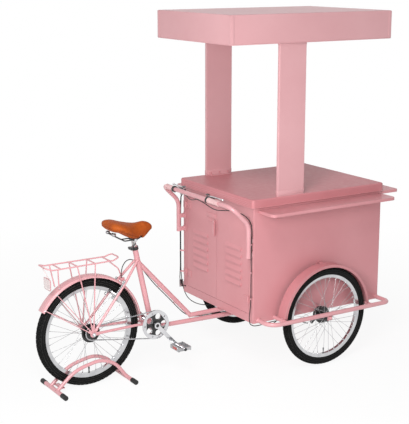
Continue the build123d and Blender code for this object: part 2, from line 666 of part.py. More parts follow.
low = front_shelf_top - shelf_thick
with BuildPart() as shelf_front:
    block((front_shelf_back, front_shelf_front), (-front_shelf_half, front_shelf_half), (low, front_shelf_top))
    fillet(shelf_front.edges().filter_by(Axis.Z).group_by(Axis.X)[-1], 22)
    fillet(shelf_front.faces().sort_by(Axis.Z)[-1].edges(), 4)
    offset(shelf_front.part, amount=-sheet, openings=shelf_front.faces().sort_by(Axis.Z)[0], mode=Mode.REPLACE)
    for y in front_bracket_ys:
        block((front_shelf_back, front_axis_x + 5), (y - 5.7, y + 5.7), (front_axis_z, front_shelf_top - 1))
        prism([(front_axis_x, 0, front_axis_z)], 5, y - 5.7, y + 5.7, "y")
        prism([(front_axis_x, 0, front_axis_z)], shelf_pin + 0.05, y - 7, y + 7, "y", 0, Mode.SUBTRACT)
shelf_front.part.label = "shelf_front"
export_step(shelf_front.part, "parts/shelf_front.step")


def front_hub(side):
    centre = (front_x, side * track_half, front_z)
    outline = [(hub_bore, -22), (38, -22), (38, -44), (42, -44), (42, -22), (49, -22), (49, -18), (16, -18), (16, 26), (28, 26),
               (28, 30), (14, 30), (12, 36), (hub_bore, 36)]
    turned(centre, [(r, side * a) for r, a in outline])


def front_spokes(side):
    centre = (front_x, side * track_half, front_z)
    rim_r = front_tyre_radius - front_seat_drop - 19.2
    # the two flanges, with the spokes inside and outside each
    for hub_r, flange, start in ((45.5, -20, 0), (24, 28, 10)):
        out = 1 if flange > 0 else -1
        spoke_group(centre, hub_r, -side * (flange + out * 4.5), rim_r, -side * out * 2.0, start, 60)
        spoke_group(centre, hub_r, -side * (flange - out * 3.1), rim_r, -side * out * 2.0, start + 20, -60)


with BuildPart() as front_tyre_left:
    tyre((front_x, track_half, front_z), front_tyre_radius, front_tyre_width, front_seat_drop)
front_tyre_left.part.label = "front_tyre_left"
export_step(front_tyre_left.part, "parts/front_tyre_left.step")

with BuildPart() as front_tyre_right:
    tyre((front_x, -track_half, front_z), front_tyre_radius, front_tyre_width, front_seat_drop)
front_tyre_right.part.label = "front_tyre_right"
export_step(front_tyre_right.part, "parts/front_tyre_right.step")

with BuildPart() as front_rim_left:
    rim((front_x, track_half, front_z), front_tyre_radius - front_seat_drop, 15, 9, 18)
front_rim_left.part.label = "front_rim_left"
export_step(front_rim_left.part, "parts/front_rim_left.step")

with BuildPart() as front_rim_right:
    rim((front_x, -track_half, front_z), front_tyre_radius - front_seat_drop, 15, 9, 18)
front_rim_right.part.label = "front_rim_right"
export_step(front_rim_right.part, "parts/front_rim_right.step")

with BuildPart() as front_spokes_left:
    front_spokes(1)
front_spokes_left.part.label = "front_spokes_left"
export_step(front_spokes_left.part, "parts/front_spokes_left.step")

with BuildPart() as front_spokes_right:
    front_spokes(-1)
front_spokes_right.part.label = "front_spokes_right"
export_step(front_spokes_right.part, "parts/front_spokes_right.step")

with BuildPart() as front_hub_left:
    front_hub(1)
front_hub_left.part.label = "front_hub_left"
export_step(front_hub_left.part, "parts/front_hub_left.step")

with BuildPart() as front_hub_right:
    front_hub(-1)
front_hub_right.part.label = "front_hub_right"
export_step(front_hub_right.part, "parts/front_hub_right.step")


def on_seat_axis(along):
    return (bb_x + seat_dir[0] * along, 0, bb_z + seat_dir[2] * along)


with BuildPart() as seat_tube:
    rod([on_seat_axis(6), on_seat_axis(468)], seat_tube_outer)
    prism([(bb_x, 0, bb_z)], bb_shell, -34, 34, "y", 0, Mode.SUBTRACT)
    rod([on_seat_axis(22), on_seat_axis(470)], seat_tube_bore, None, Mode.SUBTRACT)
seat_tube.part.label = "seat_tube"
export_step(seat_tube.part, "parts/seat_tube.step")

upper_path = ahead([(-973, 0, 650), (-636, 0, 283), (0, 0, 283)])
lower_path = [(bb_x, 0, 256), (front_x, 0, 236)]
with BuildPart() as main_tubes:
    rod(upper_path, frame_tube, [22])
    rod([(bb_x, 0, bb_z - 30), (front_x, 0, 236)], frame_tube)
    profile_block([(bb_x - 8, bb_z - 14), (bb_x + 16, bb_z - 14), (bb_x + 16, bb_z - 40), (bb_x - 8, bb_z - 40)], -6, 6)
    prism([(front_x, 0, 0)], head_outer, head_low, head_high, "z")
    rod(ahead([(-973, 0, 650), (-636, 0, 283), (-20, 0, 283)]), frame_tube - 2, [22], Mode.SUBTRACT)
    rod([(bb_x + 2, 0, bb_z - 30), (front_x - 20, 0, 236.4)], frame_tube - 2, None, Mode.SUBTRACT)
    prism([(front_x, 0, 0)], head_bore, head_low - 1, head_high + 1, "z", 0, Mode.SUBTRACT)
    rod([on_seat_axis(6), on_seat_axis(468)], seat_tube_outer, None, Mode.SUBTRACT)
    prism([(bb_x, 0, bb_z)], bb_shell, -34, 34, "y", 0, Mode.SUBTRACT)
main_tubes.part.label = "main_tubes"
export_step(main_tubes.part, "parts/main_tubes.step")

axle_point = Vector(rear_x, 0, rear_z)
brake_up = (0.647, 0, 0.7625)
brake_plane = Plane(origin=(rear_x, 0, rear_z), x_dir=brake_up, z_dir=(-0.7625, 0, 0.647))
with BuildPart() as rear_stays:
    for side in sides:
        rod(ahead([(-1263, side * 60, 304.6), (-1010, side * 38.5, 300), (-900, side * 23, 286)]), stay_tube, [150])
        rod(ahead([(-1271, side * 60.6, 322), (-1070, side * 42, 560), (-979, side * 11, 664)]), stay_tube, [150])
        ys = (side * 60, side * 65)
        prism([(rear_x, 0, rear_z)], 17, ys[0], ys[1], "y")
        inner, outer = sorted(ys)
        block((rear_x, rear_x + 40), (inner, outer), (rear_z - 9, rear_z + 9))
        block_on(brake_plane, (0, 40), (inner, outer), (-9, 9))
        # brake pivot bosses behind the upper stays
        block_on(brake_plane, (219, 231), sorted((side * 44, side * 52)), (2, 8.4))
    for side in sides:
        prism([(rear_x, 0, rear_z)], axle_rear + 0.05, side * 58, side * 67, "y", 0, Mode.SUBTRACT)
    rod(ahead([(-1068, -40, 562), (-1068, 40, 562)]), 6)
    rod(ahead([(-962, -32, 300), (-962, 32, 300)]), 5)
    rod([axle_point + Vector(*brake_up) * 320.6, axle_point + Vector(*brake_up) * 335], 4)
    block((front_x - 965.2, front_x - 958), (-8, 8), (300, 326))
    block((front_x - 1090, front_x - 1064), (-14, -6), (562, 578))
    rod([on_seat_axis(6), on_seat_axis(468)], seat_tube_outer, None, Mode.SUBTRACT)
    prism([(bb_x, 0, bb_z)], bb_shell, -34, 34, "y", 0, Mode.SUBTRACT)
    rod(upper_path, frame_tube, [22], Mode.SUBTRACT)
rear_stays.part.label = "rear_stays"
export_step(rear_stays.part, "parts/rear_stays.step")

with BuildPart() as steering_bearings:
    for z_flange, z_sleeve in (((head_low - 3, head_low), (head_low, head_low + 15)),
                               ((head_high, head_high + 3), (head_high - 15, head_high))):
        prism([(front_x, 0, 0)], 23, z_flange[0], z_flange[1], "z")
        prism([(front_x, 0, 0)], head_bore - 0.05, z_sleeve[0], z_sleeve[1], "z")
    prism([(front_x, 0, 0)], king_pin_radius + 0.05, 200, 320, "z", 0, Mode.SUBTRACT)
steering_bearings.part.label = "steering_bearings"
export_step(steering_bearings.part, "parts/steering_bearings.step")

with BuildPart() as rear_axle:
    prism([(rear_x, 0, rear_z)], axle_rear, -84, 84, "y")
    for side in sides:
        prism([(rear_x, 0, rear_z)], cone_radius, side * 38, side * 59.8, "y")
        prism([(rear_x, 0, rear_z)], 10, side * 69.6, side * 77, "y", 6)
rear_axle.part.label = "rear_axle"
export_step(rear_axle.part, "parts/rear_axle.step")

with BuildPart() as bottom_bracket:
    prism([(bb_x, 0, bb_z)], bb_shell, -34, 34, "y")
    for side in sides:
        prism([(bb_x, 0, bb_z)], bb_shell - 1, side * 34, side * 36, "y", 6)
    prism([(bb_x, 0, bb_z)], 16, -22, 22, "y", 0, Mode.SUBTRACT)
    prism([(bb_x, 0, bb_z)], 8.06, -40, 40, "y", 0, Mode.SUBTRACT)
bottom_bracket.part.label = "bottom_bracket"
export_step(bottom_bracket.part, "parts/bottom_bracket.step")

with BuildPart() as chain:
    with BuildSketch(Plane(origin=(0, -chain_y - 3, 0), x_dir=(1, 0, 0), z_dir=(0, -1, 0))) as loop:
        with Locations((bb_x, bb_z)):
            Circle(ring_pitch + 4)
        with Locations((rear_x, rear_z)):
            Circle(sprocket_pitch + 4)
        make_hull()
    extrude(amount=-6)
    with BuildSketch(Plane(origin=(0, -chain_y - 4, 0), x_dir=(1, 0, 0), z_dir=(0, -1, 0))) as inside:
        with Locations((bb_x, bb_z)):
            Circle(ring_pitch - 4)
        with Locations((rear_x, rear_z)):
            Circle(sprocket_pitch - 4)
        make_hull()
    extrude(amount=-8, mode=Mode.SUBTRACT)
chain.part.label = "chain"
export_step(chain.part, "parts/chain.step")

fender_outline = [(306, -33), (311, -33), (317, -27), (320, -12), (320, 12), (317, 27), (311, 33), (306, 33),
                  (306, 31), (310.3, 31), (315.2, 26.2), (318, 11.6), (318, -11.6), (315.2, -26.2),
                  (310.3, -31), (306, -31)]
with BuildPart() as rear_fender:
    arc_piece((rear_x, 0, rear_z), fender_outline, 2.5, 147.5)
    for side in sides:
        for angle in (128, 147):
            a = math.radians(angle)
            top = (rear_x + 309 * math.cos(a), side * 33, rear_z + 309 * math.sin(a))
            knee = (rear_x + 30 * math.cos(a), side * 66.2, rear_z + 30 * math.sin(a))
            rod([knee, top], 2.5)
            plane = Plane(origin=(rear_x, 0, rear_z), x_dir=(math.cos(a), 0, math.sin(a)), z_dir=(0, -1, 0))
            zs = sorted((-side * 65.2, -side * 67.2))
            block_on(plane, (0, 36), (-5, 5), zs)
        prism([(rear_x, 0, rear_z)], 9, side * 65.2, side * 67.2, "y")
        prism([(rear_x, 0, rear_z)], axle_rear + 0.05, side * 64, side * 70, "y", 0, Mode.SUBTRACT)
rear_fender.part.label = "rear_fender"
export_step(rear_fender.part, "parts/rear_fender.step")

with BuildPart() as rear_rack:
    for side in sides:
        rail_path = ahead([(-1112, 0, 707), (-1112, side * 44, 707), (-1150, side * 50, 694),
                           (-1508, side * 55, 694), (-1543, side * 50, 706), (-1543, 0, 706)])
        rod(rail_path, 4, [18, 30, 30, 16])
        for x, y in ((-1364, 53), (-1258, 51.5)):
            a = math.atan2(690 - rear_z, x + wheel_base)
            foot = (-wheel_base + 46 * math.cos(a), side * 67.2, rear_z + 46 * math.sin(a))
            rod(ahead([(x, side * y, 692), foot]), 3.5)
            plane = Plane(origin=(rear_x, 0, rear_z), x_dir=(math.cos(a), 0, math.sin(a)), z_dir=(0, -1, 0))
            zs = sorted((-side * 67.4, -side * 69.4))
            block_on(plane, (0, 56), (-5, 5), zs)
        prism([(rear_x, 0, rear_z)], 9, side * 67.4, side * 69.4, "y")
        prism([(rear_x, 0, rear_z)], axle_rear + 0.05, side * 66, side * 72, "y", 0, Mode.SUBTRACT)
        rod(ahead([(-1477, side * 54, 691), (-1462, side * 28, 577)]), 3.5)
    for x in (-1168, -1258, -1364, -1460):
        rod(ahead([(x, -51, 694), (x, 51, 694)]), 4)
    rod(ahead([(-1168, 0, 694), (-1094, 0, 630), (-1073, 0, 570)]), 3.5, [40])
rear_rack.part.label = "rear_rack"
export_step(rear_rack.part, "parts/rear_rack.step")

with BuildPart() as rear_reflector:
    with BuildSketch(Plane(origin=(front_x - 1519, 0, 608), x_dir=(0, 1, 0), z_dir=(1, 0, 0))) as lens:
        RectangleRounded(76, 56, 8)
    extrude(amount=8)
    block((front_x - 1511, front_x - 1508), (-16, 16), (590, 640))
    rod(ahead([(-1509.5, 0, 636), (-1524, 0, 668), (-1542.5, 0, 702.2)]), 3, [30])
rear_reflector.part.label = "rear_reflector"
export_step(rear_reflector.part, "parts/rear_reflector.step")

collar_mid = on_seat_axis(456)
with BuildPart() as seat_collar:
    rod([on_seat_axis(447), on_seat_axis(465)], 20)
    back = collar_mid[0] - 24
    block((back - 7, back + 8), (-18, 18), (collar_mid[2] - 7, collar_mid[2] + 7))
    block((back - 8, back + 7), (-2, 2), (collar_mid[2] - 8, collar_mid[2] + 8), Mode.SUBTRACT)
    rod([on_seat_axis(440), on_seat_axis(470)], seat_tube_outer + 0.05, None, Mode.SUBTRACT)
    prism([(back, 0, collar_mid[2])], 2.5, -22, 22, "y")
    prism([(back, 0, collar_mid[2])], 6, 18, 25, "y", 6)
    block((back - 3, back + 3), (-31, -20), (collar_mid[2] - 3, collar_mid[2] + 3))
    prism([(0, -27, collar_mid[2])], 2, back - 7, back + 7, "x")
seat_collar.part.label = "seat_collar"
export_step(seat_collar.part, "parts/seat_collar.step")

with BuildPart() as seat_clamp_lever:
    for x_from, x_to in ((back - 6.6, back - 3.3), (back + 3.3, back + 6.6)):
        prism([(0, -27, collar_mid[2])], 5, x_from, x_to, "x")
        block((x_from, x_to), (-30, -24), (collar_mid[2], collar_mid[2] + 14))
    block((back - 6.6, back + 6.6), (-30, -24), (collar_mid[2] + 6, collar_mid[2] + 14))
    rod([(back, -27, collar_mid[2] + 12), (back + 4, -28, collar_mid[2] + 24), (back + 14, -30, collar_mid[2] + 34)],
        3.6, [20])
    prism([(0, -27, collar_mid[2])], 2.06, back - 8, back + 8, "x", 0, Mode.SUBTRACT)
seat_clamp_lever.part.label = "seat_clamp_lever"
export_step(seat_clamp_lever.part, "parts/seat_clamp_lever.step")

frame_route = ahead([
    (0, 0, 203.8), (0, 0, 166), (-16, 4, 133), (-50, 10, 116), (-90, 15, 124), (-124, 18, 152),
    (-156, 19, 190), (-200, 18.5, 224), (-262, 18, 246), (-336, 18, 254), (-410, 18.3, 256), (-484, 18, 258),
    (-556, 18.2, 259), (-616, 18.4, 265), (-666, 17, 293), (-713, 11, 339), (-769, 8.4, 401), (-819, 8, 454),
    (-870, 8.4, 509), (-913, 13, 566), (-944, 21, 612), (-972, 27, 645), (-1004, 22, 665), (-1040, 10, 664),
    (-1068, -3, 644), (-1081, -9, 614), (-1083, -10, 578.2)])
with BuildPart() as frame_brake_cable:
    cord(frame_route, cable_radius)
frame_brake_cable.part.label = "frame_brake_cable"
export_step(frame_brake_cable.part, "parts/frame_brake_cable.step")
tube_report("frame cable", frame_route)


def brake_arm(side):
    block_on(brake_plane, (216, 335), sorted((side * 44, side * 52)), (9, 17))
    block_on(brake_plane, (243, 251), sorted((side * 17.2, side * 26)), (-12, 40))
    block_on(brake_plane, (244, 250), sorted((side * 25, side * 46)), (10, 16))
    block_on(brake_plane, (325, 335), sorted((side * 38, side * 46)), (9, 17))
    # head of the pivot bolt
    pivot = axle_point + Vector(*brake_up) * 225 + Vector(-0.7625, 0, 0.647) * 17 + Vector(0, side * 48, 0)
    with Locations(Plane(origin=pivot, z_dir=(-0.7625, 0, 0.647))):
        Cylinder(3.6, 3, align=(Align.CENTER, Align.CENTER, Align.MIN))


with BuildPart() as rear_brake_arm_left:
    brake_arm(1)
rear_brake_arm_left.part.label = "rear_brake_arm_left"
export_step(rear_brake_arm_left.part, "parts/rear_brake_arm_left.step")

with BuildPart() as rear_brake_arm_right:
    brake_arm(-1)
rear_brake_arm_right.part.label = "rear_brake_arm_right"
export_step(rear_brake_arm_right.part, "parts/rear_brake_arm_right.step")

clamp_at = on_seat_axis(509)
with BuildPart() as seat_post:
    rod([on_seat_axis(290), on_seat_axis(505)], post_tube)
    rod([on_seat_axis(288), on_seat_axis(490)], post_tube - 2, None, Mode.SUBTRACT)
    prism([clamp_at], 13, -28, 28, "y")
    for side in sides:
        rail_path = ahead([(-1142, side * 30, 841), (-1128, side * 28, 822), (-1064, side * 22, 784),
                           (-985, side * 22, 785), (-954, side * 14, 795)])
        rod(rail_path, 3.5, [8, 30, 30])
        prism(ahead([(-1136, side * 36, 0)]), 9, 824, 839, "z")
    block((front_x - 1142, front_x - 1130), (-36, 36), (826, 832))
seat_post.part.label = "seat_post"
export_step(seat_post.part, "parts/seat_post.step")

# Saddle sections from the tail to the nose: ahead of the front axle, underside, top, half width
saddle_sections = (
    (-1163, 858, 894, 64), (-1149, 850, 906, 90), (-1112, 840, 900, 104), (-1068, 817, 886, 97),
    (-1026, 792, 877, 70), (-985, 773, 874, 49), (-942, 782, 880, 38), (-906, 814, 872, 31), (-884, 833, 851, 17))
with BuildPart() as saddle_cover:
    for x, z_low, z_high, half in saddle_sections:
        with BuildSketch(Plane(origin=(front_x + x, 0, 0), x_dir=(0, 1, 0), z_dir=(1, 0, 0))) as section:
            with BuildLine():
                rise = z_high - z_low
                crown = min(10, 0.3 * rise)
                shoulder = z_high - crown
                Line((-0.82 * half, z_low), (0.82 * half, z_low))
                ThreePointArc((0.82 * half, z_low), (half, z_low + 0.6 * (shoulder - z_low)), (0.86 * half, shoulder))
                ThreePointArc((0.86 * half, shoulder), (0, z_high), (-0.86 * half, shoulder))
                ThreePointArc((-0.86 * half, shoulder), (-half, z_low + 0.6 * (shoulder - z_low)),
                              (-0.82 * half, z_low))
            make_face()
    loft()
    block((front_x - 1046, front_x - 953), (-32, 32), (700, 807), Mode.SUBTRACT)
saddle_cover.part.label = "saddle_cover"
export_step(saddle_cover.part, "parts/saddle_cover.step")

with BuildPart() as rear_tyre:
    tyre((rear_x, 0, rear_z), rear_tyre_radius, rear_tyre_width, rear_seat_drop)
rear_tyre.part.label = "rear_tyre"
export_step(rear_tyre.part, "parts/rear_tyre.step")

with BuildPart() as rear_rim:
    rim((rear_x, 0, rear_z), rear_tyre_radius - rear_seat_drop, 16, 10, 20)
rear_rim.part.label = "rear_rim"
export_step(rear_rim.part, "parts/rear_rim.step")

with BuildPart() as rear_spokes:
    rear_centre = (rear_x, 0, rear_z)
    rear_bed = rear_tyre_radius - rear_seat_drop - 21.2
    for out, first in ((1, 0), (-1, 10)):
        spoke_group(rear_centre, 24, out * 30.5, rear_bed, out * 2.0, first, 60)
        spoke_group(rear_centre, 24, out * 22.9, rear_bed, out * 2.0, first + 20, -60)
rear_spokes.part.label = "rear_spokes"
export_step(rear_spokes.part, "parts/rear_spokes.step")

with BuildPart() as rear_hub:
    turned((rear_x, 0, rear_z), [
        (hub_bore, -59.5), (12, -59.5), (13, -51.5), (24, -50.5), (24, -49.5), (32.2, -49.5), (32.2, -46.5),
        (26, -46.5), (26, -33.5), (54, -33.5), (54, -31.8), (18, -31.8), (18, -28), (28, -28), (28, -24),
        (18, -24), (18, 24), (28, 24), (28, 28), (14, 28), (12, 59.5), (hub_bore, 59.5)])
rear_hub.part.label = "rear_hub"
export_step(rear_hub.part, "parts/rear_hub.step")

with BuildPart() as chainring:
    crank_centre = (bb_x, 0, bb_z)
    prism([crank_centre], ring_pitch - 4.9, -49.5, -46.5, "y")
    prism([crank_centre], 84, -56, -54, "y")
    prism([crank_centre], 30, -54, -49.5, "y")
    with Locations(Plane(origin=(bb_x, -44, bb_z), x_dir=(1, 0, 0), z_dir=(0, -1, 0))):
        with PolarLocations(50, 5):
            Cylinder(17.5, 20, align=(Align.CENTER, Align.CENTER, Align.MIN), mode=Mode.SUBTRACT)
        with PolarLocations(69, 5, start_angle=36):
            Cylinder(3, 11, align=(Align.CENTER, Align.CENTER, Align.MIN))
    prism([crank_centre], 12.1, -60, -44, "y", 0, Mode.SUBTRACT)
chainring.part.label = "chainring"
export_step(chainring.part, "parts/chainring.step")

with BuildPart() as crank_arms:
    prism([crank_centre], 8, -76, 76, "y")
    prism([crank_centre], 12, -64, -44, "y")
    prism([crank_centre], 12, 44, 64, "y")
    a = math.radians(crank_angle)
    for side in sides:
        way = -side
        tip = (bb_x + way * crank_length * math.cos(a), 0, bb_z + way * crank_length * math.sin(a))
        prism([crank_centre], 18, side * 64, side * 76, "y")
        prism([tip], 13, side * 64, side * 76, "y")
        plane = Plane(origin=crank_centre, x_dir=(way * math.cos(a), 0, way * math.sin(a)), z_dir=(0, -1, 0))
        block_on(plane, (0, crank_length), (-11, 11), sorted((-side * 64, -side * 76)))
        prism([tip], 6, side * 64, side * 181, "y")
        prism([tip], 9, side * 179, side * 183, "y")
crank_arms.part.label = "crank_arms"
export_step(crank_arms.part, "parts/crank_arms.step")


def pedal(side):
    a = math.radians(crank_angle)
    x = bb_x - side * crank_length * math.cos(a)
    z = bb_z - side * crank_length * math.sin(a)
    prism([(x, 0, z)], 10, side * 80, side * 178, "y")
    for y_from, y_to in ((82, 87), (127, 132), (172, 177)):
        block((x - 40, x + 40), sorted((side * y_from, side * y_to)), (z - 8, z + 8))
    for edge in (-1, 1):
        block(sorted((x + edge * 34, x + edge * 40)), sorted((side * 82, side * 177)), (z - 11, z + 11))
    prism([(x, 0, z)], 6.06, side * 79, side * 179, "y", 0, Mode.SUBTRACT)


with BuildPart() as pedal_left:
    pedal(1)
pedal_left.part.label = "pedal_left"
export_step(pedal_left.part, "parts/pedal_left.step")

with BuildPart() as pedal_right:
    pedal(-1)
pedal_right.part.label = "pedal_right"
export_step(pedal_right.part, "parts/pedal_right.step")

stand_z = 13.5
with BuildPart() as parking_stand:
    for x in (-1497, -1075):
        rod(ahead([(x, -149, stand_z), (x, 149, stand_z)]), 12)
    for side in sides:
        cord(ahead([(-1497, side * 42, 18), (-1392, side * 42, 112), (-1236, side * 42, 144), (-1146, side * 42, 108),
                    (-1078, side * 42, 18)]), 10)
    block((front_x - 1478, front_x - 1450), (-42, 42), (24, 27))
parking_stand.part.label = "parking_stand"
export_step(parking_stand.part, "parts/parking_stand.step")

with BuildPart() as stand_caps:
    for x in (-1497, -1075):
        for side in sides:
            prism(ahead([(x, 0, stand_z)]), 13.5, side * 105, side * 152, "y")
            prism(ahead([(x, 0, stand_z)]), 12, side * 104, side * 149, "y", 0, Mode.SUBTRACT)
stand_caps.part.label = "stand_caps"
export_step(stand_caps.part, "parts/stand_caps.step")
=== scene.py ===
import bmesh
import bpy
import math
from mathutils import Matrix, Vector


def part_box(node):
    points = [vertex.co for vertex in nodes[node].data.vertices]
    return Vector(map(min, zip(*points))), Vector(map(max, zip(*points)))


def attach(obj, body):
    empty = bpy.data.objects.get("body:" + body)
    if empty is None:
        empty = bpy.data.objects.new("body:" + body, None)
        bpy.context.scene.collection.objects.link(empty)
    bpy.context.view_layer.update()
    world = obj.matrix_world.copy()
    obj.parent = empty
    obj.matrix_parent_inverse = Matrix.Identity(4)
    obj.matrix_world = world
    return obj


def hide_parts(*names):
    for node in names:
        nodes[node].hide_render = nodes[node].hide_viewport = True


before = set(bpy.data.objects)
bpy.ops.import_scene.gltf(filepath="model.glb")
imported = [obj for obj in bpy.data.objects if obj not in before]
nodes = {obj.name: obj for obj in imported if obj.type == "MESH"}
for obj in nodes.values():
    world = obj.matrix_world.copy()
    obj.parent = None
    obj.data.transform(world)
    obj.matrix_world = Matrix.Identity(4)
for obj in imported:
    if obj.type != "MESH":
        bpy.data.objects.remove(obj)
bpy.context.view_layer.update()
print("frame loaded with", len(nodes), "nodes")

# where the main parts of the cart sit, metres
frontX = 0.4995
rearX = -0.7865
trackHalf = 0.433
frontZ = 0.289
rearZ = 0.305
bottomBracket = Vector((frontX - 0.894, 0, 0.286))
seatLine = Vector((-0.2116, 0, 0.9774))


def ahead(x, y, z):
    # millimetres ahead of the front axle into metres on the cart
    return Vector((frontX + x / 1000, y / 1000, z / 1000))


# camera

view = {"place": (-3.2379, -5.0819, 2.2535), "towards": (0.5194, 0.8249, -0.2232), "lens": 92.1}

cameraData = bpy.data.cameras.new("studioCamera")
cameraData.sensor_width = 36
cameraData.lens = view["lens"]
camera = bpy.data.objects.new("studioCamera", cameraData)
bpy.context.scene.collection.objects.link(camera)
camera.location = view["place"]
camera.rotation_euler = Vector(view["towards"]).to_track_quat("-Z", "Y").to_euler()
bpy.context.scene.camera = camera
bpy.context.scene.view_settings.view_transform = "Standard"
print("camera set")


# finishes

def paintColour(red, green, blue):
    # a colour as it reads on screen, into the shader's scale
    return tuple(((c / 255 + 0.055) / 1.055) ** 2.4 for c in (red, green, blue)) + (1.0,)


# each edge colour below is laid along the rounded edges: a painted highlight, lighter than the finish, except on the
# saddle where it is darker
finishes = {
    "pinkEnamel": {"slot": "pink_enamel", "light": (207, 143, 148), "dark": (201, 135, 140), "patch": 2.4,
                   "rough": (0.36, 0.48), "grain": (900, 0.00006), "edge": (224, 176, 179), "edgeReach": 0.0016,
                   "edgeTintAmount": 0.55, "coat": 0.12},
    # the pink enamel made lighter for the canopy: painted light, the sheen it catches laid into its colour
    "canopyEnamelPaintedLight": {"slot": "pink_enamel", "light": (212, 161, 165), "dark": (207, 154, 158), "patch": 2.4,
                     "rough": (0.36, 0.48), "grain": (900, 0.00006), "edge": (233, 184, 187), "edgeReach": 0.0016,
                     "edgeTintAmount": 0.5, "coat": 0.12},
    # the pink enamel made darker, with less shine, for the counter top: the darker colour is painted shade under the
    # canopy
    "counterEnamelPaintedShade": {"slot": "pink_enamel", "light": (200, 132, 137), "dark": (193, 124, 129), "patch": 2.4,
                      "rough": (0.4, 0.52), "grain": (900, 0.00006), "edge": (226, 176, 179), "edgeReach": 0.0016,
                      "edgeTintAmount": 0.55, "sheen": 0.34},
    # the pink enamel made darker for the front fenders: painted shade
    "fenderEnamelPaintedShade": {"slot": "pink_enamel", "light": (194, 130, 135), "dark": (186, 122, 127), "patch": 2.4,
                     "rough": (0.36, 0.48), "grain": (900, 0.00006), "edge": (222, 172, 175), "edgeReach": 0.0016,
                     "edgeTintAmount": 0.55, "coat": 0.12},
    # the pink enamel made lighter and glossier for the frame tubes and small fittings: the lighter colour is painted
    # light
    "pinkTubePaintedLight": {"slot": "pink_enamel", "light": (213, 156, 161), "dark": (206, 147, 152), "patch": 5,
                 "rough": (0.28, 0.4), "grain": (1100, 0.00004), "edge": (232, 184, 187), "edgeReach": 0.001,
                 "edgeTintAmount": 0.5, "coat": 0.25},
    "steelBare": {"slot": "steel", "light": (188, 188, 190), "dark": (150, 150, 153), "patch": 30, "metal": 1,
                  "rough": (0.24, 0.42), "grain": (1600, 0.00003), "edge": (214, 214, 214), "edgeReach": 0.0006,
                  "edgeTintAmount": 0.6},
    "chromePlate": {"slot": "chrome", "light": (222, 222, 224), "dark": (205, 205, 208), "patch": 12, "metal": 1,
                    "rough": (0.07, 0.16), "grain": (500, 0.00001), "edge": (238, 238, 238), "edgeReach": 0.0005,
                    "edgeTintAmount": 0.4},
    "alloySatin": {"slot": "alloy", "light": (198, 198, 199), "dark": (168, 168, 171), "patch": 25, "metal": 1,
                   "rough": (0.22, 0.36), "grain": (1400, 0.00002), "edge": (226, 226, 226), "edgeReach": 0.0006,
                   "edgeTintAmount": 0.5},
    "rimPolish": {"slot": "alloy", "light": (212, 212, 213), "dark": (190, 190, 193), "patch": 18, "metal": 1,
                  "rough": (0.14, 0.26), "grain": (1200, 0.00002), "edge": (232, 232, 232), "edgeReach": 0.0006,
                  "edgeTintAmount": 0.5},
    "blackEnamel": {"slot": "black_enamel", "light": (24, 24, 25), "dark": (15, 15, 16), "patch": 20,
                    "rough": (0.26, 0.42), "grain": (1000, 0.00004), "edge": (88, 88, 90), "edgeReach": 0.0007,
                    "edgeTintAmount": 0.5, "coat": 0.3},
    "tyreRubber": {"slot": "tyre_rubber", "light": (13, 13, 13), "dark": (7, 7, 7), "patch": 14,
                   "rough": (0.75, 0.95), "grain": (1300, 0.00012), "edge": (86, 85, 84), "edgeReach": 0.0011,
                   "edgeTintAmount": 0.7, "sheen": 0.16},
    "blackRubber": {"slot": "black_rubber", "light": (28, 28, 28), "dark": (18, 18, 18), "patch": 25,
                    "rough": (0.55, 0.75), "grain": (1500, 0.0001), "edge": (58, 57, 56), "edgeReach": 0.0008,
                    "edgeTintAmount": 0.6},
    "blackPlastic": {"slot": "black_plastic", "light": (40, 40, 41), "dark": (28, 28, 29), "patch": 25,
                     "rough": (0.4, 0.58), "grain": (2200, 0.00006), "edge": (78, 78, 79), "edgeReach": 0.0006,
                     "edgeTintAmount": 0.5},
    "cableJacket": {"slot": "black_plastic", "light": (22, 20, 21), "dark": (12, 11, 12), "patch": 40,
                    "rough": (0.32, 0.5), "grain": (2600, 0.00004), "edge": (70, 68, 69), "edgeReach": 0.0004,
                    "edgeTintAmount": 0.4},
}

# finishes that also change over the part, with the pattern each one carries
patterned = {
    "gripRubber": {"slot": "grip_rubber", "light": (226, 190, 190), "dark": (214, 172, 173), "patch": 22,
                   "rough": (0.5, 0.68), "grain": (1500, 0.00012), "edge": (234, 204, 203), "edgeReach": 0.0008,
                   "edgeTintAmount": 0.5, "ribs": (240, 0.0009)},
    "reflectorLens": {"slot": "reflector", "light": (236, 222, 221), "dark": (224, 205, 204), "patch": 30,
                      "rough": (0.08, 0.16), "grain": (2400, 0.00002), "edge": (244, 236, 235), "edgeReach": 0.001,
                      "edgeTintAmount": 0.5, "cells": (260, 0.0012), "coat": 0.6},
    "pedalLens": {"slot": "reflector", "light": (186, 70, 62), "dark": (160, 52, 48), "patch": 60,
                  "rough": (0.1, 0.2), "grain": (2400, 0.00002), "edge": (214, 120, 110), "edgeReach": 0.0006,
                  "edgeTintAmount": 0.5, "cells": (520, 0.0006), "coat": 0.5},
    "saddleLeather": {"slot": "saddle_leather", "light": (176, 84, 22), "dark": (146, 62, 14), "patch": 9,
                      "rough": (0.5, 0.66), "grain": (2600, 0.00005), "edge": (128, 56, 16), "edgeReach": 0.004,
                      "edgeTintAmount": 0.7, "cells": (620, 0.00025), "sheen": 0.24},
    "seatPostFinish": {"slot": "chrome", "light": (212, 210, 208), "dark": (192, 190, 189), "patch": 12, "metal": 1,
                       "rough": (0.10, 0.2), "grain": (500, 0.00001), "edge": (232, 232, 232), "edgeReach": 0.0005,
                       "edgeTintAmount": 0.4, "blackAbove": 0.779},
}


def newNode(tree, kind, x, y, **settings):
    node = tree.nodes.new(kind)
    node.location = (x, y)
    for key, value in settings.items():
        setattr(node, key, value)
    return node


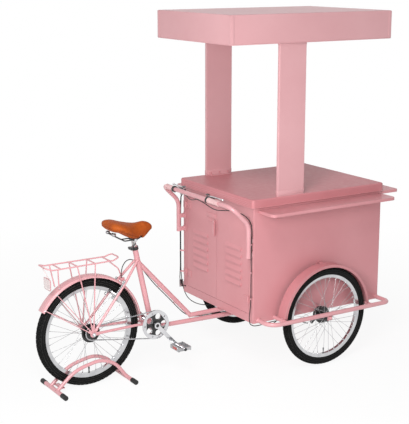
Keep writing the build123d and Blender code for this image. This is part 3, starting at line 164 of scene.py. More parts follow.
def makeFinish(name, spec):
    finish = bpy.data.materials.new(name)
    finish.use_nodes = True
    tree = finish.node_tree
    link = tree.links.new
    tree.nodes.clear()
    output = newNode(tree, "ShaderNodeOutputMaterial", 900, 0)
    shader = newNode(tree, "ShaderNodeBsdfPrincipled", 600, 0)
    link(shader.outputs[0], output.inputs[0])
    place = newNode(tree, "ShaderNodeTexCoord", -1300, 0)
    at = place.outputs["Object"]

    tone = newNode(tree, "ShaderNodeTexNoise", -1000, 300)
    tone.inputs["Scale"].default_value = spec["patch"]
    tone.inputs["Detail"].default_value = 5
    tone.inputs["Roughness"].default_value = 0.55
    link(at, tone.inputs["Vector"])
    shades = newNode(tree, "ShaderNodeValToRGB", -760, 300)
    shades.color_ramp.elements[0].position = 0.34
    shades.color_ramp.elements[1].position = 0.66
    shades.color_ramp.elements[0].color = paintColour(*spec["dark"])
    shades.color_ramp.elements[1].color = paintColour(*spec["light"])
    link(tone.outputs["Fac"], shades.inputs["Fac"])
    colour = shades.outputs["Color"]

    # rounded look of every edge, and where that rounding is, the edge colour: a painted highlight, lighter than the
    # finish on all but the saddle, whose edges it makes darker
    soften = newNode(tree, "ShaderNodeBevel", -1000, -420, samples=4)
    soften.inputs["Radius"].default_value = spec["edgeReach"]
    facing = newNode(tree, "ShaderNodeNewGeometry", -1000, -620)
    match = newNode(tree, "ShaderNodeVectorMath", -780, -520, operation="DOT_PRODUCT")
    link(soften.outputs["Normal"], match.inputs[0])
    link(facing.outputs["Normal"], match.inputs[1])
    blotchNoise = newNode(tree, "ShaderNodeTexNoise", -1000, 40)
    blotchNoise.inputs["Scale"].default_value = spec["patch"] * 14
    blotchNoise.inputs["Detail"].default_value = 6
    link(at, blotchNoise.inputs["Vector"])
    onEdge = newNode(tree, "ShaderNodeMapRange", -580, -520)
    onEdge.inputs["From Min"].default_value = 0.985
    onEdge.inputs["From Max"].default_value = 0.80
    link(match.outputs["Value"], onEdge.inputs["Value"])
    broken = newNode(tree, "ShaderNodeMapRange", -780, 40)
    broken.inputs["From Min"].default_value = 0.36
    broken.inputs["From Max"].default_value = 0.62
    broken.inputs["To Min"].default_value = 0.25
    broken.inputs["To Max"].default_value = spec["edgeTintAmount"] + 0.3
    link(blotchNoise.outputs["Fac"], broken.inputs["Value"])
    # how much of the edge colour shows (painted highlight), broken up by noise
    edgeTintMask = newNode(tree, "ShaderNodeMath", -380, -300, operation="MULTIPLY", use_clamp=True)
    link(onEdge.outputs["Result"], edgeTintMask.inputs[0])
    link(broken.outputs["Result"], edgeTintMask.inputs[1])
    atEdge = newNode(tree, "ShaderNodeMix", -160, 200, data_type="RGBA")
    atEdge.inputs[7].default_value = paintColour(*spec["edge"])
    link(edgeTintMask.outputs["Value"], atEdge.inputs[0])
    link(colour, atEdge.inputs[6])
    colour = atEdge.outputs[2]

    if "blackAbove" in spec:  # the post is plated and what it carries is blacked
        height = newNode(tree, "ShaderNodeSeparateXYZ", -1000, 620)
        link(at, height.inputs[0])
        above = newNode(tree, "ShaderNodeMapRange", -780, 620)
        above.inputs["From Min"].default_value = spec["blackAbove"] - 0.0004
        above.inputs["From Max"].default_value = spec["blackAbove"] + 0.0004
        link(height.outputs["Z"], above.inputs["Value"])
        blacked = newNode(tree, "ShaderNodeMix", 60, 300, data_type="RGBA")
        blacked.inputs[7].default_value = paintColour(30, 30, 31)
        link(above.outputs["Result"], blacked.inputs[0])
        link(colour, blacked.inputs[6])
        colour = blacked.outputs[2]
        plated = newNode(tree, "ShaderNodeMapRange", -560, 620)
        plated.inputs["From Min"].default_value = spec["blackAbove"] + 0.0004
        plated.inputs["From Max"].default_value = spec["blackAbove"] - 0.0004
        link(height.outputs["Z"], plated.inputs["Value"])
        link(plated.outputs["Result"], shader.inputs["Metallic"])
    else:
        shader.inputs["Metallic"].default_value = spec.get("metal", 0)
    link(colour, shader.inputs["Base Color"])

    gloss = newNode(tree, "ShaderNodeMapRange", -380, -60)
    gloss.inputs["From Min"].default_value = 0.3
    gloss.inputs["From Max"].default_value = 0.7
    gloss.inputs["To Min"].default_value = spec["rough"][0]
    gloss.inputs["To Max"].default_value = spec["rough"][1]
    link(blotchNoise.outputs["Fac"], gloss.inputs["Value"])
    link(gloss.outputs["Result"], shader.inputs["Roughness"])

    fine = newNode(tree, "ShaderNodeTexNoise", -1000, -820)
    fine.inputs["Scale"].default_value = spec["grain"][0]
    fine.inputs["Detail"].default_value = 3
    link(at, fine.inputs["Vector"])
    surface = newNode(tree, "ShaderNodeBump", -160, -520)
    surface.inputs["Strength"].default_value = 0.6
    surface.inputs["Distance"].default_value = spec["grain"][1]
    link(fine.outputs["Fac"], surface.inputs["Height"])
    link(soften.outputs["Normal"], surface.inputs["Normal"])
    normal = surface.outputs["Normal"]

    if "ribs" in spec:  # moulded rings round a grip
        rings = newNode(tree, "ShaderNodeTexWave", -780, -820, wave_type="BANDS", bands_direction="Y")
        rings.inputs["Scale"].default_value = spec["ribs"][0] / 6.283
        rings.inputs["Distortion"].default_value = 0
        link(at, rings.inputs["Vector"])
        ribbed = newNode(tree, "ShaderNodeBump", 60, -620)
        ribbed.inputs["Distance"].default_value = spec["ribs"][1]
        link(rings.outputs["Fac"], ribbed.inputs["Height"])
        link(normal, ribbed.inputs["Normal"])
        normal = ribbed.outputs["Normal"]
    if "cells" in spec:  # pebbled hide, or the prisms of a lens
        cells = newNode(tree, "ShaderNodeTexVoronoi", -780, -1020, feature="DISTANCE_TO_EDGE")
        cells.inputs["Scale"].default_value = spec["cells"][0]
        link(at, cells.inputs["Vector"])
        crease = newNode(tree, "ShaderNodeMapRange", -560, -1020)
        crease.inputs["From Min"].default_value = 0.0
        crease.inputs["From Max"].default_value = 0.22
        link(cells.outputs["Distance"], crease.inputs["Value"])
        pebbled = newNode(tree, "ShaderNodeBump", 60, -820)
        pebbled.inputs["Strength"].default_value = 0.55
        pebbled.inputs["Distance"].default_value = spec["cells"][1]
        link(crease.outputs["Result"], pebbled.inputs["Height"])
        link(normal, pebbled.inputs["Normal"])
        normal = pebbled.outputs["Normal"]
    link(normal, shader.inputs["Normal"])
    if "sheen" in spec:
        shader.inputs["Specular IOR Level"].default_value = spec["sheen"]
    if "coat" in spec:
        shader.inputs["Coat Weight"].default_value = spec["coat"]
        shader.inputs["Coat Roughness"].default_value = 0.22
    return finish


materials = {name: makeFinish(name, spec) for name, spec in {**finishes, **patterned}.items()}
print("finishes made:", len(materials))


# finish of each CAD node

nodeFinish = {
    # darker copy of the pink enamel, painted shade on the counter top
    "counterEnamelPaintedShade": "counter_top",
    # darker copy of the pink enamel, painted shade on the front fenders
    "fenderEnamelPaintedShade": "front_fenders",
    "pinkEnamel": "base_frame cabinet_body hinge_pins_and_brackets door_left door_right "
                  "door_latch shelf_left shelf_right shelf_front chassis_bolts",
    # lighter copy of the pink enamel, painted light on the canopy, its posts and the rear fender
    "canopyEnamelPaintedLight": "canopy_posts canopy_frame canopy_shell rear_fender",
    # lighter copy of the pink enamel, painted light on the round tubes
    "pinkTubePaintedLight": "side_bumpers handlebar seat_tube main_tubes rear_stays bottom_bracket rear_rack parking_stand",
    "steelBare": "king_pin front_axles rear_axle steering_bearings",
    "chromePlate": "brake_lever_left brake_lever_right chainring crank_arms",
    "seatPostFinish": "seat_post",
    "alloySatin": "front_spokes_left front_spokes_right rear_spokes rear_brake_arm_left rear_brake_arm_right "
                  "pedal_left pedal_right",
    "rimPolish": "front_rim_left front_rim_right rear_rim",
    "blackEnamel": "brake_lever_mounts front_brake_plates front_hub_left front_hub_right rear_hub seat_collar "
                   "seat_clamp_lever",
    "blackRubber": "stand_caps",
    "cableJacket": "chassis_brake_cables frame_brake_cable",
    "gripRubber": "handlebar_grips",
    "reflectorLens": "rear_reflector",
}
for finishName, names in nodeFinish.items():
    for nodeName in names.split():
        piece = nodes[nodeName]
        if not piece.material_slots:
            piece.data.materials.append(materials[finishName])
        for materialSlot in piece.material_slots:
            materialSlot.material = materials[finishName]
print("nodes finished")


# mesh helpers

def addTurned(mesh, centre, axis, outline, steps=32, start=0, sweep=360, closed=True, zero=None):
    # outline is (radius, distance along the axis) in metres
    axis = Vector(axis).normalized()
    side = Vector(zero).normalized() if zero else axis.orthogonal().normalized()
    other = axis.cross(side)
    whole = abs(sweep - 360) < 1e-6
    rows = []
    for i in range(steps if whole else steps + 1):
        a = math.radians(start + sweep * i / steps)
        out = side * math.cos(a) + other * math.sin(a)
        rows.append([mesh.verts.new(Vector(centre) + axis * along + out * radius) for radius, along in outline])
    last = len(outline) if closed else len(outline) - 1
    for i in range(len(rows) if whole else len(rows) - 1):
        here, there = rows[i], rows[(i + 1) % len(rows)]
        for j in range(last):
            k = (j + 1) % len(outline)
            mesh.faces.new((here[j], here[k], there[k], there[j]))
    if not whole and closed:
        mesh.faces.new(rows[0])
        mesh.faces.new(list(reversed(rows[-1])))


def addTube(mesh, points, radius, sides=10, closed=False, flat=None):
    # flat turns the round section into an oval: (across, through)
    points = [Vector(p) for p in points]
    count = len(points)
    normal = None
    rows = []
    for i, point in enumerate(points):
        before = points[i - 1] if closed or i > 0 else point
        after = points[(i + 1) % count] if closed or i < count - 1 else point
        way = (after - before).normalized()
        if normal is None:
            normal = way.orthogonal().normalized()
        normal = (normal - way * normal.dot(way)).normalized()
        other = way.cross(normal)
        wide, thick = flat or (1, 1)
        here = radius[i] if isinstance(radius, (list, tuple)) else radius
        rows.append([mesh.verts.new(point + normal * here * wide * math.cos(2 * math.pi * j / sides)
                                    + other * here * thick * math.sin(2 * math.pi * j / sides))
                     for j in range(sides)])
    for i in range(count if closed else count - 1):
        here, there = rows[i], rows[(i + 1) % count]
        shift = 0
        if closed and i == count - 1:  # the last row meets the first where they lie closest
            shift = min(range(sides), key=lambda s: sum((here[j].co - there[(j + s) % sides].co).length
                                                        for j in range(0, sides, 2)))
        for j in range(sides):
            k = (j + 1) % sides
            mesh.faces.new((here[j], here[k], there[(k + shift) % sides], there[(j + shift) % sides]))
    if not closed:
        mesh.faces.new(list(reversed(rows[0])))
        mesh.faces.new(rows[-1])


def addBlock(mesh, centre, size, axes=None, chamfer=0.0, taper=1.0):
    part = bmesh.new()
    bmesh.ops.create_cube(part, size=1.0)
    for vert in part.verts:
        shrink = taper if vert.co.z > 0 else 1.0
        vert.co = Vector((vert.co.x * size[0] * shrink, vert.co.y * size[1] * shrink, vert.co.z * size[2]))
    if chamfer:
        bmesh.ops.bevel(part, geom=part.edges[:], offset=chamfer, segments=2, affect="EDGES", profile=0.5)
    turn = Matrix.Identity(3)
    if axes:
        turn = Matrix([Vector(a).normalized() for a in axes]).transposed()
    place = Matrix.Translation(Vector(centre)) @ turn.to_4x4()
    bmesh.ops.transform(part, matrix=place, verts=part.verts[:])
    holder = bpy.data.meshes.new("holder")
    part.to_mesh(holder)
    part.free()
    mesh.from_mesh(holder)
    bpy.data.meshes.remove(holder)


def addHex(mesh, centre, axis, radius, height):
    outline = [(0, 0), (radius * 0.9, 0), (radius, height * 0.12), (radius, height * 0.86),
               (radius * 0.88, height), (0, height)]
    addTurned(mesh, centre, axis, outline, 6, closed=False)


def addScrew(mesh, centre, axis, radius, height):
    outline = [(0, height * 0.3), (radius * 0.4, height * 0.3), (radius * 0.44, height * 0.92),
               (radius * 0.72, height * 0.84), (radius * 0.93, height * 0.5), (radius, 0),
               (radius * 1.12, 0), (radius * 1.12, -height * 0.1), (0, -height * 0.1)]
    addTurned(mesh, centre, axis, outline, 18, closed=False)


def addBand(mesh, rounds, centre, across, up, width, thick):
    # a strap pulled round circles (offset across, offset up, radius), lying square to across and up
    centre, across, up = Vector(centre), Vector(across).normalized(), Vector(up).normalized()
    through = across.cross(up)
    spots = sorted((a + (r + thick) * math.cos(t * math.pi / 12), b + (r + thick) * math.sin(t * math.pi / 12))
                   for a, b, r in rounds for t in range(24))
    hull = []
    for turn in (1, -1):
        chain = []
        for spot in spots[::turn]:
            while len(chain) > 1 and ((chain[-1][0] - chain[-2][0]) * (spot[1] - chain[-2][1])
                                      - (chain[-1][1] - chain[-2][1]) * (spot[0] - chain[-2][0])) <= 1e-12:
                chain.pop()
            chain.append(spot)
        hull += chain[:-1]
    middle = (sum(s[0] for s in hull) / len(hull), sum(s[1] for s in hull) / len(hull))
    rows = []
    for a, b in hull:
        reach = math.hypot(a - middle[0], b - middle[1])
        inward = (1 - thick / reach)
        ia, ib = middle[0] + (a - middle[0]) * inward, middle[1] + (b - middle[1]) * inward
        rows.append([mesh.verts.new(centre + across * p + up * q + through * w)
                     for p, q, w in ((a, b, -width / 2), (a, b, width / 2), (ia, ib, width / 2), (ia, ib, -width / 2))])
    for i, here in enumerate(rows):
        there = rows[(i + 1) % len(rows)]
        for j in range(4):
            k = (j + 1) % 4
            mesh.faces.new((here[j], here[k], there[k], there[j]))


def weldPoints(start, way, radius, onto, along, reach, near, count=26):
    # the line where a tube meets another, or a plane when reach is None (onto a point, along its normal)
    start, way, onto, along = Vector(start), Vector(way).normalized(), Vector(onto), Vector(along).normalized()
    side = way.orthogonal().normalized()
    other = way.cross(side)
    points = []
    for i in range(count):
        a = 2 * math.pi * i / count
        edge = start + (side * math.cos(a) + other * math.sin(a)) * radius
        if reach is None:
            t = (onto - edge).dot(along) / way.dot(along)
        else:
            gap = edge - onto
            gap -= along * gap.dot(along)
            slope = way - along * way.dot(along)
            qa, qb, qc = slope.dot(slope), 2 * gap.dot(slope), gap.dot(gap) - reach * reach
            inside = qb * qb - 4 * qa * qc
            if inside < 0:
                t = -qb / (2 * qa)
            else:
                t = (-qb + near * math.sqrt(inside)) / (2 * qa)
        points.append(edge + way * t)
    return points


def addWeld(mesh, points, size):
    # a bead laid in small even pulls
    count = len(points)
    smooth = []
    for i in range(count):
        a, b = Vector(points[i]), Vector(points[(i + 1) % count])
        smooth += [a, a.lerp(b, 0.5)]
    sizes = [size * (1.0 if i % 2 else 0.82) for i in range(len(smooth))]
    addTube(mesh, smooth, sizes, 8, True)


def finishPiece(mesh, name, body, finishName, crease=34, replaced=()):
    bmesh.ops.remove_doubles(mesh, verts=mesh.verts[:], dist=0.000002)
    bmesh.ops.dissolve_degenerate(mesh, edges=mesh.edges[:], dist=0.000001)
    bmesh.ops.recalc_face_normals(mesh, faces=mesh.faces[:])
    data = bpy.data.meshes.new(name)
    mesh.to_mesh(data)
    mesh.free()
    data.polygons.foreach_set("use_smooth", [True] * len(data.polygons))
    data.set_sharp_from_angle(angle=math.radians(crease))
    data.materials.append(materials[finishName])
    piece = bpy.data.objects.new(name, data)
    bpy.context.scene.collection.objects.link(piece)
    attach(piece, body)
    if replaced:
        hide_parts(*replaced)
    return piece


# tyres

tyreShape = {"wall": 0.003, "treadHeight": 0.0052, "knobs": 72, "ribHeight": 0.0009}
tyres = {
    "rearTyreTread": {"node": "rear_tyre", "body": "rear_wheel", "centre": (rearX, 0, rearZ), "radius": 0.305,
                      "width": 0.054, "drop": 0.048},
    "frontTyreTreadLeft": {"node": "front_tyre_left", "body": "front_wheel_left",
                           "centre": (frontX, trackHalf, frontZ), "radius": 0.289, "width": 0.050, "drop": 0.045},
    "frontTyreTreadRight": {"node": "front_tyre_right", "body": "front_wheel_right",
                            "centre": (frontX, -trackHalf, frontZ), "radius": 0.289, "width": 0.050, "drop": 0.045},
}


def casingRadius(spec, angle):
    # the casing sits lower under the tread and full at the sidewalls
    half = spec["width"] / 2
    under = max(0.0, math.cos(math.radians(min(90, abs(angle) * 1.25))))
    return half - 0.0006 - (tyreShape["treadHeight"] - 0.0006) * min(1.0, under * 1.8)


def makeTyre(name, spec):
    mesh = bmesh.new()
    half = spec["width"] / 2
    middle = spec["radius"] - half
    centre = Vector(spec["centre"])
    reach = math.degrees(math.acos((half - spec["drop"]) / half)) - 1
    outside, inside = [], []
    for i in range(29):
        angle = -reach + 2 * reach * i / 28
        a = math.radians(angle)
        r = casingRadius(spec, angle)
        outside.append((middle + r * math.cos(a), r * math.sin(a)))
        inside.append((middle + (r - tyreShape["wall"]) * math.cos(a), (r - tyreShape["wall"]) * math.sin(a)))
    addTurned(mesh, centre, (0, 1, 0), outside + inside[::-1], 120)
    for angle in (72, 98, 122):  # moulded lines round each sidewall
        for side in (-1, 1):
            a = math.radians(side * angle)
            r = casingRadius(spec, angle)
            b = math.radians(side * (angle + 2.4))
            c = math.radians(side * (angle - 2.4))
            ring = [(middle + (r - 0.0006) * math.cos(c), (r - 0.0006) * math.sin(c)),
                    (middle + (r + tyreShape["ribHeight"] - 0.0004) * math.cos(a),
                     (r + tyreShape["ribHeight"] - 0.0004) * math.sin(a)),
                    (middle + (r - 0.0006) * math.cos(b), (r - 0.0006) * math.sin(b))]
            addTurned(mesh, centre, (0, 1, 0), ring, 96)
    step = 360 / tyreShape["knobs"]
    rows = ((9, 0.0, 0.0145, 0.0085), (-9, 0.5, 0.0145, 0.0085), (33, 0.5, 0.0125, 0.0095), (-33, 0.0, 0.0125, 0.0095),
            (56, 0.0, 0.0135, 0.0085), (-56, 0.5, 0.0135, 0.0085))
    for angle, shift, length, across in rows:
        a = math.radians(angle)
        r = casingRadius(spec, angle)
        top = half - 0.0001 if abs(angle) < 60 else half - 0.0005
        for k in range(tyreShape["knobs"]):
            turn = math.radians((k + shift) * step)
            out = Vector((math.cos(turn), 0, math.sin(turn)))
            run = Vector((-math.sin(turn), 0, math.cos(turn)))
            sideways = Vector((0, 1, 0))
            up = out * math.cos(a) + sideways * math.sin(a)
            wide = sideways * math.cos(a) - out * math.sin(a)
            low, high = r - 0.0006, top
            if abs(angle) < 60:
                # the flat top of a block stays under the tyre's outer line at its corners
                high = math.sqrt(top * top - (across * 0.41) ** 2) - 0.0004
            mid = centre + out * middle + up * ((low + high) / 2)
            addBlock(mesh, mid, (length, across, high - low), (run, wide, up), 0, 0.82)
    return finishPiece(mesh, name, spec["body"], "tyreRubber", 30, (spec["node"],))


for tyreName, tyreSpec in tyres.items():
    makeTyre(tyreName, tyreSpec)
print("tyres made")


# eyelets and valves of the three wheels

wheelTrim = {"eyeletRadius": 0.0036, "eyeletHeight": 0.0016, "valveLength": 0.034, "valveAngle": -90}
wheels = {
    "Rear": {"body": "rear_wheel", "centre": (rearX, 0, rearZ), "bed": 0.237, "flip": 1,
             "groups": ((0.0020, 0, 60), (0.0020, 20, -60), (-0.0020, 10, 60), (-0.0020, 30, -60))},
    "FrontLeft": {"body": "front_wheel_left", "centre": (frontX, trackHalf, frontZ), "bed": 0.226, "flip": 1,
                  "groups": ((-0.0020, 0, 60), (-0.0020, 20, -60), (0.0020, 10, 60), (0.0020, 30, -60))},
    "FrontRight": {"body": "front_wheel_right", "centre": (frontX, -trackHalf, frontZ), "bed": 0.226, "flip": -1,
                   "groups": ((0.0020, 0, 60), (0.0020, 20, -60), (-0.0020, 10, 60), (-0.0020, 30, -60))},
}
for wheelName, wheel in wheels.items():
    centre = Vector(wheel["centre"])
    mesh = bmesh.new()
    for offset, first, lean in wheel["groups"]:
        for k in range(9):
            a = math.radians(first + lean + 40 * k)
            out = Vector((math.cos(a), 0, math.sin(a)))
            r, h = wheelTrim["eyeletRadius"], wheelTrim["eyeletHeight"]
            ring = [(r * 0.62, 0.001), (r, 0.001), (r, -h * 0.4), (r * 0.8, -h), (r * 0.62, -h * 0.8)]
            addTurned(mesh, centre + out * wheel["bed"] + Vector((0, offset, 0)), out, ring, 12)
    finishPiece(mesh, "rimEyelets" + wheelName, wheel["body"], "chromePlate")
    mesh = bmesh.new()
    a = math.radians(wheelTrim["valveAngle"])
    inward = Vector((-math.cos(a), 0, -math.sin(a)))
    foot = centre - inward * (wheel["bed"] + 0.002)
    long = wheelTrim["valveLength"]
    valve = [(0, -0.001), (0.0056, -0.001), (0.0056, 0.003), (0.0034, 0.006), (0.0030, long * 0.5),
             (0.0026, long * 0.52), (0.0026, long * 0.58), (0.0040, long * 0.60), (0.0043, long * 0.66),
             (0.0040, long * 0.72), (0.0043, long * 0.78), (0.0040, long * 0.84), (0.0042, long * 0.92),
             (0.0028, long), (0, long)]
    addTurned(mesh, foot, inward, valve, 16, closed=False)
    finishPiece(mesh, "tyreValve" + wheelName, wheel["body"], "blackRubber")
print("wheel trim made")


# hubs: rims of the spoke flanges and rings round the barrels in black enamel, with caps on the axle ends

hubTrim = {"flangeRim": 0.0011, "ringRadius": 0.0155}
for side, tail in ((1, "Left"), (-1, "Right")):
    centre = Vector((frontX, side * trackHalf, frontZ))
    mesh = bmesh.new()
    for along, radius in ((0.0287, 0.0282), (-0.0200, 0.0490)):
        ring = [(radius - 0.0012, side * along - 0.0022), (radius + 0.0004, side * along - 0.0016),
                (radius + 0.0010, side * along), (radius + 0.0004, side * along + 0.0016),
                (radius - 0.0012, side * along + 0.0022)]
        addTurned(mesh, centre, (0, 1, 0), ring, 48)
    for along in (-0.010, 0.004, 0.018):  # barrel rings between the flanges
        ring = [(0.0158, side * along - 0.0014), (0.0167, side * along), (0.0158, side * along + 0.0014)]
        addTurned(mesh, centre, (0, 1, 0), ring, 36)
    finishPiece(mesh, "hubFlangeRings" + tail, "front_wheel_" + tail.lower(), "blackEnamel")
    mesh = bmesh.new()
    cap = [(0, 0.0125), (0.0045, 0.0122), (0.0078, 0.0098), (0.0092, 0.006), (0.0096, 0.0),
           (0.0118, -0.0004), (0.0118, -0.0020), (0, -0.0020)]
    addTurned(mesh, (frontX, side * 0.4885, frontZ), (0, side, 0), cap, 28, closed=False)
    finishPiece(mesh, "axleCap" + tail, "cart", "pinkTubePaintedLight")
mesh = bmesh.new()
for side in (1, -1):
    for along, radius in ((0.0259, 0.0280),):
        ring = [(radius - 0.0012, side * along - 0.0022), (radius + 0.0004, side * along - 0.0016),
                (radius + 0.0010, side * along), (radius + 0.0004, side * along + 0.0016),
                (radius - 0.0012, side * along + 0.0022)]
        addTurned(mesh, (rearX, 0, rearZ), (0, 1, 0), ring, 48)
for along in (-0.012, 0.0, 0.012):
    ring = [(0.0178, along - 0.0014), (0.0188, along), (0.0178, along + 0.0014)]
    addTurned(mesh, (rearX, 0, rearZ), (0, 1, 0), ring, 36)
finishPiece(mesh, "rearHubRings", "rear_wheel", "blackEnamel")
mesh = bmesh.new()
for side in (1, -1):
    cap = [(0, 0.0085), (0.0046, 0.0083), (0.0072, 0.0065), (0.0082, 0.003), (0.0086, 0.0), (0.0112, -0.0003),
           (0.0112, -0.0018), (0, -0.0018)]
    addTurned(mesh, (rearX, side * 0.0771, rearZ), (0, side, 0), cap, 24, closed=False)
finishPiece(mesh, "rearAxleCaps", "bicycle_frame", "chromePlate")
print("hub trim made")


# chain: rollers and link plates laid round the two sprockets

chainShape = {"ringTeeth": 40, "sprocketTeeth": 18, "ringPitch": 0.0809, "sprocketPitch": 0.03657, "lineY": -0.048,
              "pitch": 0.0127, "rollerRadius": 0.0036, "plateHalf": 0.0033}


def chainSpots():
    # outer tangents of the two pitch circles, walked at even steps
    front, back = bottomBracket.copy(), Vector((rearX, 0, rearZ))
    bigR, smallR = chainShape["ringPitch"], chainShape["sprocketPitch"]
    gap = Vector((back.x - front.x, back.z - front.z))
    span = gap.length
    base = math.atan2(gap.y, gap.x)
    lean = math.acos((bigR - smallR) / span)
    run = math.sqrt(span * span - (bigR - smallR) ** 2)
    bigArc = 2 * math.pi - 2 * lean
    smallArc = 2 * lean
    total = bigR * bigArc + smallR * smallArc + 2 * run
    links = 2 * round(total / chainShape["pitch"] / 2)
    spots = []
    for k in range(links):
        s = total * k / links
        if s < bigR * bigArc:  # round the ring
            a = base + lean + s / bigR
            spots.append((front.x + bigR * math.cos(a), front.z + bigR * math.sin(a)))
            continue
        s -= bigR * bigArc
        startA = base - lean
        if s < run:
            a0 = (front.x + bigR * math.cos(startA), front.z + bigR * math.sin(startA))
            a1 = (back.x + smallR * math.cos(startA), back.z + smallR * math.sin(startA))
            spots.append((a0[0] + (a1[0] - a0[0]) * s / run, a0[1] + (a1[1] - a0[1]) * s / run))
            continue
        s -= run
        if s < smallR * smallArc:
            a = startA + s / smallR
            spots.append((back.x + smallR * math.cos(a), back.z + smallR * math.sin(a)))
            continue
        s -= smallR * smallArc
        endA = base + lean
        a0 = (back.x + smallR * math.cos(endA), back.z + smallR * math.sin(endA))
        a1 = (front.x + bigR * math.cos(endA), front.z + bigR * math.sin(endA))
        spots.append((a0[0] + (a1[0] - a0[0]) * s / run, a0[1] + (a1[1] - a0[1]) * s / run))
    return spots


def addLinkPlate(mesh, here, there, y, half, thick):
    # a waisted plate round two pins
    a, b = Vector((here[0], y, here[1])), Vector((there[0], y, there[1]))
    run = (b - a).normalized()
    up = Vector((-run.z, 0, run.x))
    edge = []
    for spot, first in ((b, -90), (a, 90)):
        for t in range(0, 181, 30):
            angle = math.radians(first + t)
            edge.append(spot + run * half * math.cos(angle) + up * half * math.sin(angle))
        middle = a.lerp(b, 0.5)
        edge.append(middle + up * half * (0.68 if first < 0 else -0.68))
    across = Vector((0, thick, 0))
    lower = [mesh.verts.new(p) for p in edge]
    upper = [mesh.verts.new(p + across) for p in edge]
    mesh.faces.new(lower)
    mesh.faces.new(upper[::-1])
    for i in range(len(edge)):
        j = (i + 1) % len(edge)
        mesh.faces.new((lower[i], lower[j], upper[j], upper[i]))


mesh = bmesh.new()
spots = chainSpots()
for k, spot in enumerate(spots):
    there = spots[(k + 1) % len(spots)]
    roller = chainShape["rollerRadius"]
    pin = [(0, -0.0030), (0.0016, -0.0030), (0.0016, -0.0016), (roller, -0.0016), (roller, 0.0016),
           (0.0016, 0.0016), (0.0016, 0.0030), (0, 0.0030)]
    addTurned(mesh, (spot[0], chainShape["lineY"], spot[1]), (0, 1, 0), pin, 8, closed=False)
    for side in (1, -1):
        if k % 2:
            y = chainShape["lineY"] + (0.0022 if side > 0 else -0.0029)
        else:
            y = chainShape["lineY"] + (0.0015 if side > 0 else -0.0022)
        addLinkPlate(mesh, spot, there, y, chainShape["plateHalf"], 0.0007)
finishPiece(mesh, "chainLinks", "bicycle_frame", "steelBare", 40, ("chain",))
print("chain made of", len(spots), "links")


# teeth, bolts and the black centre of the chainset

driveTrim = {"ringRoot": 0.0735, "ringTip": 0.0768, "sprocketRoot": 0.0300, "sprocketTip": 0.0326}


def addTeeth(mesh, centre, teeth, root, tip, yFrom, yTo):
    edge = []
    for k in range(teeth * 4):
        a = 2 * math.pi * k / (teeth * 4)
        r = tip if k % 4 in (0, 1) else root
        edge.append((r, a + (0.012 if k % 4 == 0 else -0.012 if k % 4 == 1 else 0)))
    inner = root - 0.004
    rows = []
    for r, a in edge:
        out = Vector((math.cos(a), 0, math.sin(a)))
        c = Vector(centre)
        rows.append([mesh.verts.new(c + out * rr + Vector((0, y, 0)))
                     for rr, y in ((r, yFrom), (r, yTo), (inner, yTo), (inner, yFrom))])
    for i, here in enumerate(rows):
        there = rows[(i + 1) % len(rows)]
        for j in range(4):
            k = (j + 1) % 4
            mesh.faces.new((here[j], here[k], there[k], there[j]))


mesh = bmesh.new()
addTeeth(mesh, bottomBracket, chainShape["ringTeeth"], driveTrim["ringRoot"], driveTrim["ringTip"], -0.0490, -0.0470)
for k in range(5):
    a = math.radians(36 + 72 * k)
    spot = bottomBracket + Vector((math.cos(a) * 0.069, -0.0560, math.sin(a) * 0.069))
    addScrew(mesh, spot, (0, -1, 0), 0.0046, 0.0026)
finishPiece(mesh, "chainringTeeth", "crank", "steelBare")
mesh = bmesh.new()
for rOut, rIn, yFrom, yTo in ((0.034, 0.0126, -0.0572, -0.0540),):
    ring = [(rIn, yFrom), (rOut - 0.002, yFrom), (rOut, yFrom + 0.0014), (rOut, yTo), (rIn, yTo)]
    addTurned(mesh, bottomBracket, (0, 1, 0), ring, 40)
for k in range(5):  # spider arms that spread round the windows of the ring
    a = math.radians(36 + 72 * k)
    out = Vector((math.cos(a), 0, math.sin(a)))
    across = Vector((-math.sin(a), 0, math.cos(a)))
    half = math.radians(36)
    windowAt = (0.050 * math.cos(half), 0.050 * math.sin(half))
    edge = []
    for turn in (1, -1):
        arc = []
        for t in range(9):
            b = math.radians(196 + 122 * t / 8)
            arc.append((windowAt[0] - 0.0190 * math.cos(b) * 1.0, turn * (windowAt[1] + 0.0190 * math.sin(b))))
        arc = [spot for spot in arc if 0.030 < math.hypot(*spot) < 0.0655]
        arc.sort(key=lambda spot: math.hypot(*spot))
        edge.append(arc)
    outline = edge[0] + edge[1][::-1]
    front = [mesh.verts.new(bottomBracket + out * p + across * q + Vector((0, -0.0571, 0))) for p, q in outline]
    back = [mesh.verts.new(bottomBracket + out * p + across * q + Vector((0, -0.0558, 0))) for p, q in outline]
    mesh.faces.new(front)
    mesh.faces.new(back[::-1])
    for i in range(len(outline)):
        j = (i + 1) % len(outline)
        mesh.faces.new((front[i], front[j], back[j], back[i]))
finishPiece(mesh, "chainsetSpider", "crank", "blackEnamel")
mesh = bmesh.new()
addTeeth(mesh, (rearX, 0, rearZ), chainShape["sprocketTeeth"], driveTrim["sprocketRoot"], driveTrim["sprocketTip"],
         -0.0490, -0.0470)
finishPiece(mesh, "sprocketTeeth", "rear_wheel", "steelBare")
mesh = bmesh.new()
for side in (1, -1):
    cap = [(0, 0.0022), (0.0052, 0.0022), (0.0060, 0.0014), (0.0062, 0.0), (0.0098, 0.0002), (0.0104, -0.0010), (0, -0.0010)]
    addTurned(mesh, bottomBracket + Vector((0, side * 0.0762, 0)), (0, side, 0), cap, 28, closed=False)
finishPiece(mesh, "crankBoltCaps", "crank", "blackPlastic")
print("drive trim made")


# pedals: serrated cage edges and end caps

